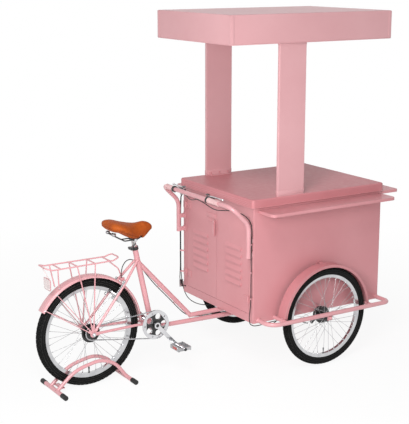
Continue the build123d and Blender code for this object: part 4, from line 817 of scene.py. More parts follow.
pedalTrim = {"teeth": 7, "crankLength": 0.175, "crankAngle": -48}
for side, tail in ((1, "Left"), (-1, "Right")):
    a = math.radians(pedalTrim["crankAngle"])
    centre = bottomBracket + Vector((-side * pedalTrim["crankLength"] * math.cos(a), 0,
                                     -side * pedalTrim["crankLength"] * math.sin(a)))
    mesh = bmesh.new()
    for edge in (-1, 1):
        for up in (-1, 1):
            for k in range(pedalTrim["teeth"]):
                y = side * (0.0890 + 0.081 * k / (pedalTrim["teeth"] - 1))
                addBlock(mesh, centre + Vector((edge * 0.0370, y, up * 0.0120)), (0.0050, 0.0070, 0.0022),
                         ((1, 0, 0), (0, up, 0), (0, 0, up)), 0, 0.55)
    finishPiece(mesh, "pedalCage" + tail, "pedal_" + tail.lower(), "alloySatin")
    mesh = bmesh.new()
    for edge in (-1, 1):  # a lens in each long side of the cage
        addBlock(mesh, centre + Vector((edge * 0.0402, side * 0.1295, 0)), (0.0012, 0.0440, 0.0150), None, 0.0005)
    finishPiece(mesh, "pedalLens" + tail, "pedal_" + tail.lower(), "pedalLens")
    mesh = bmesh.new()
    cap = [(0, 0.0030), (0.0060, 0.0028), (0.0086, 0.0016), (0.0092, 0.0), (0, 0.0)]
    addTurned(mesh, centre + Vector((0, side * 0.1828, 0)), (0, side, 0), cap, 20, closed=False)
    finishPiece(mesh, "pedalDustCap" + tail, "crank", "blackPlastic")
print("pedals trimmed")


# saddle

saddleSections = (
    # ahead of the front axle, underside, top, half width, millimetres
    (-1163, 861, 892, 60), (-1158, 856, 899, 76), (-1149, 852, 904, 88), (-1132, 847, 903, 98),
    (-1112, 842, 899, 102), (-1090, 831, 892, 101), (-1068, 819, 885, 94), (-1047, 806, 880, 83),
    (-1026, 794, 876, 68), (-1005, 783, 873, 56), (-985, 775, 872, 47), (-962, 778, 874, 41),
    (-942, 784, 878, 37), (-922, 799, 876, 32), (-906, 815, 870, 29), (-894, 825, 862, 24), (-885, 834, 851, 16))
saddleShape = {"inset": 0.0025, "voxel": 0.005, "pressure": 4.0, "cap": 0.004, "steps": 20, "seamRadius": 0.0016,
               "stitchLength": 0.0052, "stitchGap": 0.0030}


def saddleRing(section, inset=0.0):
    x, low, high, half = section[0], section[1] / 1000 + inset, section[2] / 1000 - inset, section[3] / 1000 - inset
    rise = high - low
    edge = []
    for k in range(28):
        t = 2 * math.pi * k / 28
        c, s = math.cos(t), math.sin(t)
        # a broad crown above, sides that roll under below
        if s >= 0:
            y = half * math.copysign(abs(c) ** 0.72, c)
            z = low + rise * (0.46 + 0.54 * abs(s) ** 0.9)
        else:
            y = half * math.copysign(abs(c) ** 0.55, c) * (1 - 0.10 * abs(s))
            z = low + rise * 0.46 * (1 - abs(s) ** 0.75)
        edge.append(Vector((frontX + x / 1000, y, z)))
    return edge


def makeSaddle():
    mesh = bmesh.new()
    rings = [[mesh.verts.new(p) for p in saddleRing(s, saddleShape["inset"])] for s in saddleSections]
    for here, there in zip(rings, rings[1:]):
        for j in range(28):
            k = (j + 1) % 28
            mesh.faces.new((here[j], here[k], there[k], there[j]))
    mesh.faces.new(rings[0][::-1])
    mesh.faces.new(rings[-1])
    bmesh.ops.recalc_face_normals(mesh, faces=mesh.faces[:])
    data = bpy.data.meshes.new("saddlePad")
    mesh.to_mesh(data)
    mesh.free()
    pad = bpy.data.objects.new("saddlePad", data)
    bpy.context.scene.collection.objects.link(pad)
    remesh = pad.modifiers.new("evenMesh", "REMESH")
    remesh.mode = "VOXEL"
    remesh.voxel_size = saddleShape["voxel"]
    applyModifiers(pad)
    start = [v.co.copy() for v in pad.data.vertices]
    cloth = pad.modifiers.new("fill", "CLOTH")
    cloth.settings.use_pressure = True
    cloth.settings.uniform_pressure_force = saddleShape["pressure"]
    cloth.settings.effector_weights.gravity = 0
    cloth.settings.quality = 6
    scene = bpy.context.scene
    for step in range(1, saddleShape["steps"] + 1):
        scene.frame_set(step)
    applyModifiers(pad)
    for vert, was in zip(pad.data.vertices, start):
        move = vert.co - was
        if move.length > saddleShape["cap"]:
            vert.co = was + move.normalized() * saddleShape["cap"]
    scene.frame_set(1)
    softer = bmesh.new()
    softer.from_mesh(pad.data)
    for turn in range(5):
        bmesh.ops.smooth_vert(softer, verts=softer.verts[:], factor=0.5, use_axis_x=True, use_axis_y=True,
                              use_axis_z=True)
    low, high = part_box("saddle_cover")
    for vert in softer.verts:  # stays in the room that the solid keeps, and clear of the clamp below
        vert.co.x = min(max(vert.co.x, low[0] + 0.0005), high[0] - 0.0005)
        vert.co.y = min(max(vert.co.y, low[1] + 0.0005), high[1] - 0.0005)
        vert.co.z = min(vert.co.z, high[2] - 0.0005)
        if abs(vert.co.y) < 0.034 and frontX - 1.048 < vert.co.x < frontX - 0.951:
            vert.co.z = max(vert.co.z, 0.8072)
    softer.to_mesh(pad.data)
    softer.free()
    finer = pad.modifiers.new("finer", "SUBSURF")
    finer.levels = 1
    applyModifiers(pad)
    pad.data.polygons.foreach_set("use_smooth", [True] * len(pad.data.polygons))
    pad.data.materials.clear()
    pad.data.materials.append(materials["saddleLeather"])
    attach(pad, "saddle")
    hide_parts("saddle_cover")
    return pad


def applyModifiers(piece):
    graph = bpy.context.evaluated_depsgraph_get()
    graph.update()
    done = bpy.data.meshes.new_from_object(piece.evaluated_get(graph))
    old = piece.data
    piece.modifiers.clear()
    piece.data = done
    bpy.data.meshes.remove(old)


saddlePad = makeSaddle()
print("saddle filled")


def onSaddle(point, way, far=0.12):
    # drops a point onto the pad from outside
    hit, spot, normal, index = saddlePad.ray_cast(Vector(point) - Vector(way) * far, Vector(way))
    return (spot, normal) if hit else (None, None)


bpy.context.view_layer.update()
seamSpots = []
for side in (1, -1):
    run = []
    for section in saddleSections[1:-1]:
        x = frontX + section[0] / 1000
        z = (section[1] + 0.24 * (section[2] - section[1])) / 1000
        spot, normal = onSaddle((x, 0, z), (0, -side, 0))
        if spot:
            run.append((spot, normal))
    seamSpots.append(run)
noseSpot, noseNormal = onSaddle((frontX - 0.900, 0, 0.8385), (-1, 0, 0))
tailSpot, tailNormal = onSaddle((frontX - 1.150, 0, 0.870), (1, 0, 0))
mesh = bmesh.new()
loop = list(seamSpots[0])
if noseSpot:
    loop.append((noseSpot, noseNormal))
loop += seamSpots[1][::-1]
if tailSpot:
    loop.append((tailSpot, tailNormal))
edge = []
for i, (spot, normal) in enumerate(loop):  # three steps between the spots keep the seam even
    there, thereNormal = loop[(i + 1) % len(loop)]
    for t in (0, 0.25, 0.5, 0.75):
        guess = spot.lerp(there, t)
        way = normal.lerp(thereNormal, t).normalized()
        hit, on, found, index = saddlePad.ray_cast(guess + way * 0.02, -way)
        edge.append((on if hit else guess, found if hit else way))
addTube(mesh, [p + n * 0.0004 for p, n in edge], saddleShape["seamRadius"], 8, True)
finishPiece(mesh, "saddleSeam", "saddle", "saddleLeather", 60)
mesh = bmesh.new()
for i in range(len(edge)):  # thread above the seam
    a, na = edge[i]
    b, nb = edge[(i + 1) % len(edge)]
    length = (b - a).length
    count = max(1, int(length / (saddleShape["stitchLength"] + saddleShape["stitchGap"])))
    for k in range(count):
        lift = Vector((0, 0, 0.0048))
        ends = []
        for t in ((k + 0.16) / count, (k + 0.80) / count):
            guess = a.lerp(b, t) + lift
            way = na.lerp(nb, t).normalized()
            hit, on, found, index = saddlePad.ray_cast(guess + way * 0.02, -way)
            ends.append((on if hit else guess) + way * 0.0002)
        middle = ends[0].lerp(ends[1], 0.5) + na * 0.0005
        addTube(mesh, [ends[0], middle, ends[1]], [0.0003, 0.0006, 0.0003], 6)
finishPiece(mesh, "saddleStitching", "saddle", "saddleLeather", 60)
print("saddle sewn")


# saddle springs and clamp under the pad

springTrim = {"wire": 0.0016, "coil": 0.0108, "turns": 3.0}
mesh = bmesh.new()
for side in (1, -1):
    base = ahead(-1136, side * 36, 824)
    helix = []
    for k in range(49):
        t = k / 48
        a = 2 * math.pi * springTrim["turns"] * t
        helix.append(base + Vector((springTrim["coil"] * math.cos(a), springTrim["coil"] * math.sin(a),
                                    0.0016 + 0.0118 * t)))
    addTube(mesh, helix, springTrim["wire"], 8)
clampAt = bottomBracket + seatLine * 0.509
for side in (1, -1):
    addHex(mesh, clampAt + Vector((0, side * 0.0275, 0)), (0, side, 0), 0.0085, 0.0065)
finishPiece(mesh, "saddleSprings", "saddle", "chromePlate")
print("saddle springs made")


# welds of the frame, bumpers, rack and stand

weldSizes = {"frame": 0.0022, "bumper": 0.0022, "rack": 0.0011, "stand": 0.0020, "post": 0.0017}
mesh = bmesh.new()
for side in (1, -1):
    for x in (-305, 305):
        addWeld(mesh, weldPoints(ahead(x, side * 420, 314), (0, side, 0), 0.011, ahead(x, side * 490, 314), (1, 0, 0),
                                 0.0125, -1), weldSizes["bumper"])
        addWeld(mesh, weldPoints(ahead(x, side * 420, 314), (0, side, 0), 0.011, ahead(x, side * 371.4, 314),
                                 (0, 1, 0), None, 1), weldSizes["bumper"])
    for x in (-415, 436):
        addWeld(mesh, weldPoints(ahead(x, side * 400, 314), (0, side, 0), 0.0125, ahead(x, side * 371.4, 314),
                                 (0, 1, 0), None, 1), weldSizes["bumper"])
finishPiece(mesh, "bumperWelds", "cart", "pinkTubePaintedLight", 70)
mesh = bmesh.new()
seatTop = bottomBracket + seatLine * 0.45
upperKnee, upperTop = ahead(-636, 0, 283), ahead(-973, 0, 650)
upperWay = upperTop - upperKnee
addWeld(mesh, weldPoints(upperKnee, upperWay, 0.013, bottomBracket, seatLine, 0.0155, -1), weldSizes["frame"])
lowerWay = Vector((frontX, 0, 0.236)) - (bottomBracket - Vector((0, 0, 0.030)))
addWeld(mesh, weldPoints(bottomBracket - Vector((0, 0, 0.030)) + lowerWay * 0.2, -lowerWay, 0.013, bottomBracket,
                         (0, 1, 0), 0.020, -1), weldSizes["frame"])
addWeld(mesh, weldPoints(bottomBracket - Vector((0, 0, 0.030)) + lowerWay * 0.7, lowerWay, 0.013, (frontX, 0, 0),
                         (0, 0, 1), 0.024, -1), weldSizes["frame"])
addWeld(mesh, weldPoints(ahead(-300, 0, 283), (1, 0, 0), 0.013, (frontX, 0, 0), (0, 0, 1), 0.024, -1),
        weldSizes["frame"])
addWeld(mesh, weldPoints(bottomBracket + seatLine * 0.2, -seatLine, 0.0155, bottomBracket, (0, 1, 0), 0.020, -1),
        weldSizes["frame"])
kneeWay = (upperWay.normalized() + Vector((-1, 0, 0))).normalized()
kneeRim = []
for k in range(26):  # the mitred corner of the sloping tube
    a = 2 * math.pi * k / 26
    aside = Vector((0, 1, 0)) * math.sin(a) * 0.0129
    corner = Vector((kneeWay.z, 0, -kneeWay.x)).cross(Vector((0, 1, 0))).cross(Vector((0, 1, 0)))
    kneeRim.append(upperKnee + aside + corner.normalized() * math.cos(a) * 0.0129 / 0.9157)
addWeld(mesh, kneeRim, weldSizes["frame"] * 0.8)
for side in (1, -1):
    upper = (ahead(-1070, side * 42, 560), ahead(-979, side * 11, 664))
    lower = (ahead(-1010, side * 38.5, 300), ahead(-900, side * 23, 286))
    addWeld(mesh, weldPoints(upper[0], upper[1] - upper[0], 0.0075, bottomBracket, seatLine, 0.0155, -1),
            weldSizes["frame"] * 0.8)
    addWeld(mesh, weldPoints(ahead(-1068, 0, 562), (0, side, 0), 0.006, upper[0], upper[1] - upper[0], 0.0075, -1),
            weldSizes["frame"] * 0.7)
    addWeld(mesh, weldPoints(ahead(-962, 0, 300), (0, side, 0), 0.005, lower[0], lower[1] - lower[0], 0.0075, -1),
            weldSizes["frame"] * 0.7)
finishPiece(mesh, "frameWelds", "bicycle_frame", "pinkTubePaintedLight", 70)
mesh = bmesh.new()
for side in (1, -1):
    for x, y in ((-1168, 50.3), (-1258, 51.5), (-1364, 53), (-1460, 54.3)):
        addWeld(mesh, weldPoints(ahead(x, side * 20, 694), (0, side, 0), 0.004, ahead(x, side * y, 694), (1, 0, 0),
                                 0.004, -1, 16), weldSizes["rack"])
for x in (-1168,):
    addWeld(mesh, weldPoints(ahead(-1094, 0, 630), ahead(-1168, 0, 694) - ahead(-1094, 0, 630), 0.0035,
                             ahead(x, 0, 694), (0, 1, 0), 0.004, -1, 16), weldSizes["rack"])
finishPiece(mesh, "rackWelds", "bicycle_frame", "pinkTubePaintedLight", 70)
mesh = bmesh.new()
for side in (1, -1):
    for x, knee, rise in ((-1497, -1392, 112), (-1078, -1146, 108)):
        foot = ahead(x, side * 42, 18)
        top = ahead(knee, side * 42, rise)
        addWeld(mesh, weldPoints(top, foot - top, 0.010, ahead(-1497 if x < -1200 else -1075, 0, 13.5), (0, 1, 0),
                                 0.012, -1), weldSizes["stand"])
finishPiece(mesh, "standWelds", "stand", "pinkTubePaintedLight", 70)


def boxLoop(xs, ys, z, corner):
    points = []
    for cx, cy, first in ((xs[1] - corner, ys[1] - corner, 0), (xs[0] + corner, ys[1] - corner, 90),
                          (xs[0] + corner, ys[0] + corner, 180), (xs[1] - corner, ys[0] + corner, 270)):
        for t in (0, 30, 60, 90):
            a = math.radians(first + t)
            points.append(Vector((cx + corner * math.cos(a), cy + corner * math.sin(a), z)))
    return points


mesh = bmesh.new()
for side in (1, -1):
    ys = sorted((side * 0.3556, side * 0.3744))
    for z in (1.0080,):
        loop = boxLoop((frontX - 0.2994, frontX - 0.1186), ys, z, 0.004)
        dense = []
        for i, point in enumerate(loop):
            there = loop[(i + 1) % len(loop)]
            parts = max(1, int((there - point).length / 0.006))
            dense += [point.lerp(there, k / parts) for k in range(parts)]
        sizes = [weldSizes["post"] * (1.0 if i % 2 else 0.85) for i in range(len(dense))]
        addTube(mesh, dense, sizes, 8, True)
finishPiece(mesh, "postWelds", "cart", "canopyEnamelPaintedLight", 70)
print("welds laid")


# sheet-metal folds of the counter and the canopy

sheetTrim = {"ribHeights": (0.9695, 0.9790, 0.9885), "ribRadius": 0.0016, "hemRadius": 0.0022}
mesh = bmesh.new()
for z in sheetTrim["ribHeights"]:
    x = frontX - 0.469
    ends = []
    for y in (-0.352, 0.352):
        ends.append(Vector((x + 0.0002, y, z)))
    rib = [ends[0].lerp(ends[1], k / 24) for k in range(25)]
    sizes = [sheetTrim["ribRadius"] * min(1.0, 0.15 + k, 0.15 + (24 - k)) for k in range(25)]
    addTube(mesh, rib, sizes, 10, False, (1, 1))
finishPiece(mesh, "counterSkirtRibs", "cart", "pinkEnamel", 60)
mesh = bmesh.new()
for xs, ys, z in (((frontX - 0.6152, frontX + 0.4732), (-0.3797, 0.3797), 1.8422),):
    addTube(mesh, boxLoop(xs, ys, z, 0.008), sheetTrim["hemRadius"], 10, True)
finishPiece(mesh, "canopyHem", "cart", "canopyEnamelPaintedLight", 60)
mesh = bmesh.new()
addTube(mesh, boxLoop((frontX - 0.4692, frontX + 0.4602), (-0.3812, 0.3812), 0.9612, 0.016),
        sheetTrim["hemRadius"] * 0.8, 10, True)
finishPiece(mesh, "counterHem", "cart", "pinkEnamel", 60)
mesh = bmesh.new()
for side in (1, -1):  # folded collars at both ends of each post
    for z, high in ((1.0240, 0.0240), (1.8340, 0.0090)):
        for inside in (1, -1):
            addBlock(mesh, (frontX - 0.2090, side * 0.3650 + inside * 0.0093, z), (0.1790, 0.0014, high), None, 0.0004)
        for ahead90 in (1, -1):
            addBlock(mesh, (frontX - 0.2090 + ahead90 * 0.0899, side * 0.3650, z), (0.0014, 0.0180, high), None, 0.0004)
finishPiece(mesh, "postCollars", "cart", "canopyEnamelPaintedLight", 40)
mesh = bmesh.new()
for side in (1, -1):  # the folded corner strips of the canopy's sides
    for end in (1, -1):
        x = frontX - 0.0710 + end * 0.5447
        addBlock(mesh, (x - end * 0.0110, side * 0.3799, 1.9195), (0.0210, 0.0010, 0.1500), None, 0.0004)
        addBlock(mesh, (x, side * 0.3690, 1.9195), (0.0010, 0.0200, 0.1500), None, 0.0004)
finishPiece(mesh, "canopyCorners", "cart", "canopyEnamelPaintedLight", 40)
for shelf, outline in (
        ("shelf_left", ((0.0735, 0.3752), (0.0735, 0.5110), (0.9455, 0.5110), (0.9455, 0.3752), 0.9304, 0.030)),
        ("shelf_right", ((0.0735, -0.3752), (0.0735, -0.5110), (0.9455, -0.5110), (0.9455, -0.3752), 0.9304, 0.030))):
    mesh = bmesh.new()
    corners, z, bend = outline[:4], outline[4], outline[5]
    points = [Vector((*corners[0], z))]
    sign = 1 if corners[1][1] > 0 else -1
    inside = abs(corners[1][1]) - bend - 0.0004
    for cx, first in ((corners[1][0] + bend, 180), (corners[2][0] - bend, 90)):
        for t in range(0, 91, 15):
            a = math.radians(first - t)
            points.append(Vector((cx + (bend - 0.0008) * math.cos(a), sign * (inside + (bend - 0.0008) * math.sin(a)), z)))
    points.append(Vector((*corners[3], z)))
    addTube(mesh, points, 0.0016, 8)
    finishPiece(mesh, shelf.replace("_l", "L").replace("_r", "R") + "Hem", shelf, "pinkEnamel", 60)
print("folds made")


# doors: hinge screws, latch plate screws and the keyhole rose

doorTrim = {"screw": 0.0036, "head": 0.0018, "latch": (0.016, 0.808)}
backX = frontX - 0.454
for side, tail in ((1, "Left"), (-1, "Right")):
    mesh = bmesh.new()
    for z in (0.430, 0.850):
        for y, dz in ((0.331 - 0.020, 0.012), (0.331 - 0.020, -0.012), (0.331 - 0.038, 0.0)):
            addScrew(mesh, (backX - 0.0030, side * y, z + dz), (-1, 0, 0), doorTrim["screw"], doorTrim["head"])
    if side > 0:
        y, z = doorTrim["latch"]
        for yy in (0.034, 0.085):
            addScrew(mesh, (backX - 0.0030, yy, z), (-1, 0, 0), 0.0032, 0.0016)
        rose = [(0.0042, 0.0), (0.0042, 0.0016), (0.0085, 0.0026), (0.0102, 0.0014), (0.0105, 0.0)]
        addTurned(mesh, (backX - 0.0030, 0.060, z), (-1, 0, 0), rose, 28)
        addBlock(mesh, (backX - 0.0014, 0.058, 0.838), (0.0028, 0.0980, 0.0240), None, 0.0012)
    finishPiece(mesh, "doorScrews" + tail, "door_" + tail.lower(), "pinkEnamel")
mesh = bmesh.new()
for side in (1, -1):
    for z in (0.430, 0.850):
        for y, dz in ((0.331 + 0.014, 0.012), (0.331 + 0.014, -0.012), (0.331 + 0.028, 0.0)):
            addScrew(mesh, (backX - 0.0030, side * y, z + dz), (-1, 0, 0), doorTrim["screw"], doorTrim["head"])
    for z in (0.700, 0.780):
        for y in (0.350, 0.3610):
            for dz in (-0.0148, 0.0148):
                addScrew(mesh, (backX - 0.0030, side * y, z + dz), (-1, 0, 0), 0.0028, 0.0016)
finishPiece(mesh, "cabinetScrews", "cart", "pinkEnamel")
mesh = bmesh.new()
grip = [ (0, 0.0016), (0.0050, 0.0014), (0.0066, 0.0004), (0.0070, -0.0006), (0, -0.0006)]
addTurned(mesh, (backX - 0.0140, 0.016, 0.808), (-1, 0, 0), grip, 24, closed=False)
addBlock(mesh, (backX - 0.0147, 0.016, 0.764), (0.0100, 0.0560, 0.0014), ((0, 1, 0), (0, 0, 1), (-1, 0, 0)), 0.0005)
finishPiece(mesh, "latchFacing", "door_latch", "pinkTubePaintedLight")
print("doors trimmed")


# handlebar: grip flanges, lever clamp bolts and cable adjusters

barTrim = {"flange": 0.0170, "line": (frontX - 0.597, 0.978)}
mesh = bmesh.new()
for y in (0.241, 0.316, -0.240, -0.140):
    ring = [(0.0126, -0.0020), (0.0160, -0.0020), (barTrim["flange"], -0.0008), (barTrim["flange"], 0.0008),
            (0.0160, 0.0020), (0.0126, 0.0020)]
    addTurned(mesh, (barTrim["line"][0], y, barTrim["line"][1]), (0, 1, 0), ring, 32)
for yFrom, yTo in ((0.241, 0.316), (-0.240, -0.140)):
    count = int((yTo - yFrom) / 0.006)
    for k in range(1, count):
        y = yFrom + (yTo - yFrom) * k / count
        ring = [(0.0146, -0.0017), (0.01555, -0.0006), (0.01555, 0.0006), (0.0146, 0.0017)]
        addTurned(mesh, (barTrim["line"][0], y, barTrim["line"][1]), (0, 1, 0), ring, 28)
finishPiece(mesh, "gripRings", "cart", "gripRubber")
mesh = bmesh.new()
for side, ringY in ((1, 0.231), (-1, 0.131)):
    for dy in (-0.0046, 0.0046):
        addScrew(mesh, (frontX - 0.597, side * ringY + dy, 0.9612), (0, 0, -1), 0.0024, 0.0020)
    pivot = Vector((frontX - 0.566, side * (ringY - 0.052), 0.997))
    addScrew(mesh, pivot, (0, 0, 1), 0.0046, 0.0020)
finishPiece(mesh, "leverClampBolts", "cart", "chromePlate")
mesh = bmesh.new()
for side, ringY in ((1, 0.231), (-1, 0.131)):
    pivot = Vector((frontX - 0.566, side * (ringY - 0.052), 0.9972))
    hood = [(0.0050, 0.0), (0.0125, 0.0), (0.0132, 0.0008), (0.0128, 0.0022), (0.0105, 0.0030), (0.0050, 0.0030)]
    addTurned(mesh, pivot, (0, 0, 1), hood, 28)
    for dy in (-0.0078, 0.0078):  # shoulders of the clamp ring
        ring = [(0.0172, -0.0012), (0.0186, -0.0006), (0.0186, 0.0006), (0.0172, 0.0012)]
        addTurned(mesh, (frontX - 0.597, side * ringY + dy * 0.8, 0.978), (0, 1, 0), ring, 28)
finishPiece(mesh, "leverHoods", "cart", "blackEnamel")
mesh = bmesh.new()
stopAt = Vector((backX - 0.0125, 0.3805, 0.352))
addBlock(mesh, stopAt, (0.0250, 0.0024, 0.0460), None, 0.0008)
for dz in (-0.014, 0.014):
    addScrew(mesh, stopAt + Vector((0.0040, 0.0012, dz)), (0, 1, 0), 0.0032, 0.0018)
finishPiece(mesh, "cableStop", "cart", "alloySatin", 40)
mesh = bmesh.new()
for centre, axis in (((frontX - 0.572, 0.200, 0.9560), (0, 0, -1)), ((frontX - 0.575, 0.1575, 0.971), (0, -1, 0)),
                     ((frontX - 0.575, -0.0575, 0.971), (0, 1, 0))):
    centre = Vector(centre)
    axis = Vector(axis)
    barrel = [(0.0029, -0.0010), (0.0056, -0.0010), (0.0061, 0.0004), (0.0061, 0.0052), (0.0052, 0.0062),
              (0.0044, 0.0066), (0.0044, 0.0098), (0.0029, 0.0104)]
    addTurned(mesh, centre, axis, barrel, 24)
    side = axis.orthogonal().normalized()
    other = axis.cross(side)
    for k in range(14):  # knurling
        a = 2 * math.pi * k / 14
        out = side * math.cos(a) + other * math.sin(a)
        addBlock(mesh, centre + axis * 0.0028 + out * 0.0061, (0.0042, 0.0013, 0.0010), (axis, axis.cross(out), out), 0)
finishPiece(mesh, "cableAdjusters", "cart", "alloySatin")
print("handlebar trimmed")


# clips that hold the brake cables on the cabinet, and ties on the bicycle frame

clipSpots = {"left": ((374.4, 0.700), (374.5, 0.560), (374.6, 0.430)),
             "right": ((-374.3, 0.760), (-374.4, 0.600), (-374.5, 0.450))}
mesh = bmesh.new()
for name, places in clipSpots.items():
    side = 1 if name == "left" else -1
    for y, z in places:
        cables = [(-0.01715, y / 1000)]
        if name == "left":
            cables.append((-0.0171, 0.3814))
        lead = Vector((backX, side * 0.3600, z))
        rounds = [(x, yy - lead.y, 0.0027) for x, yy in cables]
        addBand(mesh, [(r[0], r[1], r[2]) for r in rounds] + [(-0.0008, -side * 0.004, 0.0006)], lead, (1, 0, 0),
                (0, 1, 0), 0.008, 0.0009)
        addScrew(mesh, lead + Vector((-0.0022, -side * 0.0045, 0)), (-1, 0, 0), 0.0034, 0.0020)
finishPiece(mesh, "cableClips", "cart", "pinkTubePaintedLight", 40)
mesh = bmesh.new()
lowStart = bottomBracket - Vector((0, 0, 0.030))
lowWay = (Vector((frontX, 0, 0.236)) - lowStart)
ties = ((-262, 18.0, 246), (-410, 18.3, 256), (-556, 18.2, 260), (-740, 8.5, 370), (-845, 8.2, 482))
for x, y, z in ties[:3]:
    spot = ahead(x, 0, z)
    t = (spot.x - lowStart.x) / lowWay.x
    tube = lowStart + lowWay * t
    addBand(mesh, [(0, 0, 0.0131), (y / 1000, z / 1000 - tube.z, 0.0026)], (spot.x, 0, tube.z), (0, 1, 0), (0, 0, 1),
            0.0042, 0.0009)
for x, y, z in ties[3:]:
    spot = ahead(x, 0, z)
    way = upperWay.normalized()
    t = (spot - upperKnee).dot(way)
    tube = upperKnee + way * t
    away = spot - tube
    away -= way * away.dot(way)
    up = way.cross(Vector((0, 1, 0)))
    addBand(mesh, [(0, 0, 0.0131), (y / 1000, away.dot(up), 0.0026)], tube, (0, 1, 0), up, 0.0042, 0.0009)
finishPiece(mesh, "cableTies", "bicycle_frame", "pinkTubePaintedLight", 40)
print("cables held")


# rear brake pads, reflector housing, fender and rack fastenings

brakeUp = Vector((0.647, 0, 0.7625))
brakeOut = Vector((-0.7625, 0, 0.647))
for side, tail in ((1, "Left"), (-1, "Right")):
    mesh = bmesh.new()
    rearAxle = Vector((rearX, 0, rearZ))
    # brakeUp runs along the arm; the pad lies square to it
    middle = rearAxle + brakeUp * 0.247 + Vector((0, side * 0.0216, 0)) + Vector((0, 1, 0)).cross(brakeUp) * -0.0140
    alongPad = Vector((0, 1, 0)).cross(brakeUp)
    addBlock(mesh, middle, (0.0530, 0.0100, 0.0078), (alongPad, brakeUp, Vector((0, side, 0))), 0.0012)
    for k in (-1.5, -0.5, 0.5, 1.5):
        addBlock(mesh, middle + alongPad * 0.0125 * k - Vector((0, side * 0.0036, 0)), (0.0092, 0.0104, 0.0014),
                 (alongPad, brakeUp, Vector((0, side, 0))), 0.0002)
    finishPiece(mesh, "brakePad" + tail, "rear_brake_arm_" + tail.lower(), "blackRubber")
mesh = bmesh.new()
lensX = frontX - 1.519
frameLoop = []
for cy, cz, first in ((0.030, 0.020, 0), (-0.030, 0.020, 90), (-0.030, -0.020, 180), (0.030, -0.020, 270)):
    for t in (0, 30, 60, 90):
        a = math.radians(first + t)
        frameLoop.append(Vector((lensX + 0.0040, cy + 0.0085 * math.cos(a), 0.608 + cz + 0.0085 * math.sin(a))))
addTube(mesh, frameLoop, 0.0024, 8, True, (1, 1.9))
for dy in (-0.010, 0.010):
    addHex(mesh, Vector((lensX + 0.0100, dy, 0.600)), (1, 0, 0), 0.0045, 0.0034)
finishPiece(mesh, "reflectorHousing", "bicycle_frame", "pinkTubePaintedLight", 40)
mesh = bmesh.new()
for side in (1, -1):
    for angle in (128, 147):
        a = math.radians(angle)
        out = Vector((math.cos(a), 0, math.sin(a)))
        spot = Vector((rearX, side * 0.0337, rearZ)) + out * 0.309
        addHex(mesh, spot, (0, side, 0), 0.0044, 0.0034)
    for x, z in ((-1462, 577),):
        addHex(mesh, ahead(x, side * 30.5, z + 6), (0, side, 0), 0.0042, 0.0032)
finishPiece(mesh, "fenderStayBolts", "bicycle_frame", "chromePlate")
mesh = bmesh.new()
for side in (1, -1):
    for edgeY in (-1, 1):  # rolled edges of the two front fenders
        centre = Vector((frontX, side * trackHalf + edgeY * 0.0338, frontZ))
        loop = [(0.2910 + 0.0016 * math.cos(2 * math.pi * k / 8), 0.0016 * math.sin(2 * math.pi * k / 8))
                for k in range(8)]
        addTurned(mesh, centre, (0, -1, 0), loop, 96, 7, 166, zero=(1, 0, 0))
finishPiece(mesh, "frontFenderEdges", "cart", "fenderEnamelPaintedShade", 60)
mesh = bmesh.new()
for edgeY in (-1, 1):
    centre = Vector((rearX, edgeY * 0.0322, rearZ))
    loop = [(0.3062 + 0.0012 * math.cos(2 * math.pi * k / 8), 0.0012 * math.sin(2 * math.pi * k / 8))
            for k in range(8)]
    addTurned(mesh, centre, (0, -1, 0), loop, 96, 2.5, 145, zero=(1, 0, 0))
finishPiece(mesh, "rearFenderEdges", "bicycle_frame", "canopyEnamelPaintedLight", 60)
mesh = bmesh.new()
for x in (-1497, -1075):
    for side in (1, -1):
        for y in (112, 120, 128, 136):  # moulded rings of the stand's caps
            ring = [(0.0124, y / 1000 - 0.0015), (0.01345, y / 1000 - 0.0006), (0.01345, y / 1000 + 0.0006),
                    (0.0124, y / 1000 + 0.0015)]
            addTurned(mesh, ahead(x, 0, 13.5), (0, side, 0), ring, 28)
finishPiece(mesh, "standCapRings", "stand", "blackRubber")
print("small fastenings made")


# studio

studio = {"world": 0.38, "sun": 0.95, "sunFrom": (-0.45, -0.40, 0.80), "sunSpread": 22, "floorSize": 16.0,
          "panel": 64, "panelAt": (-1.9, -2.2, 1.7), "panelTo": (0.1, -0.2, 0.9), "panelSize": 1.2}


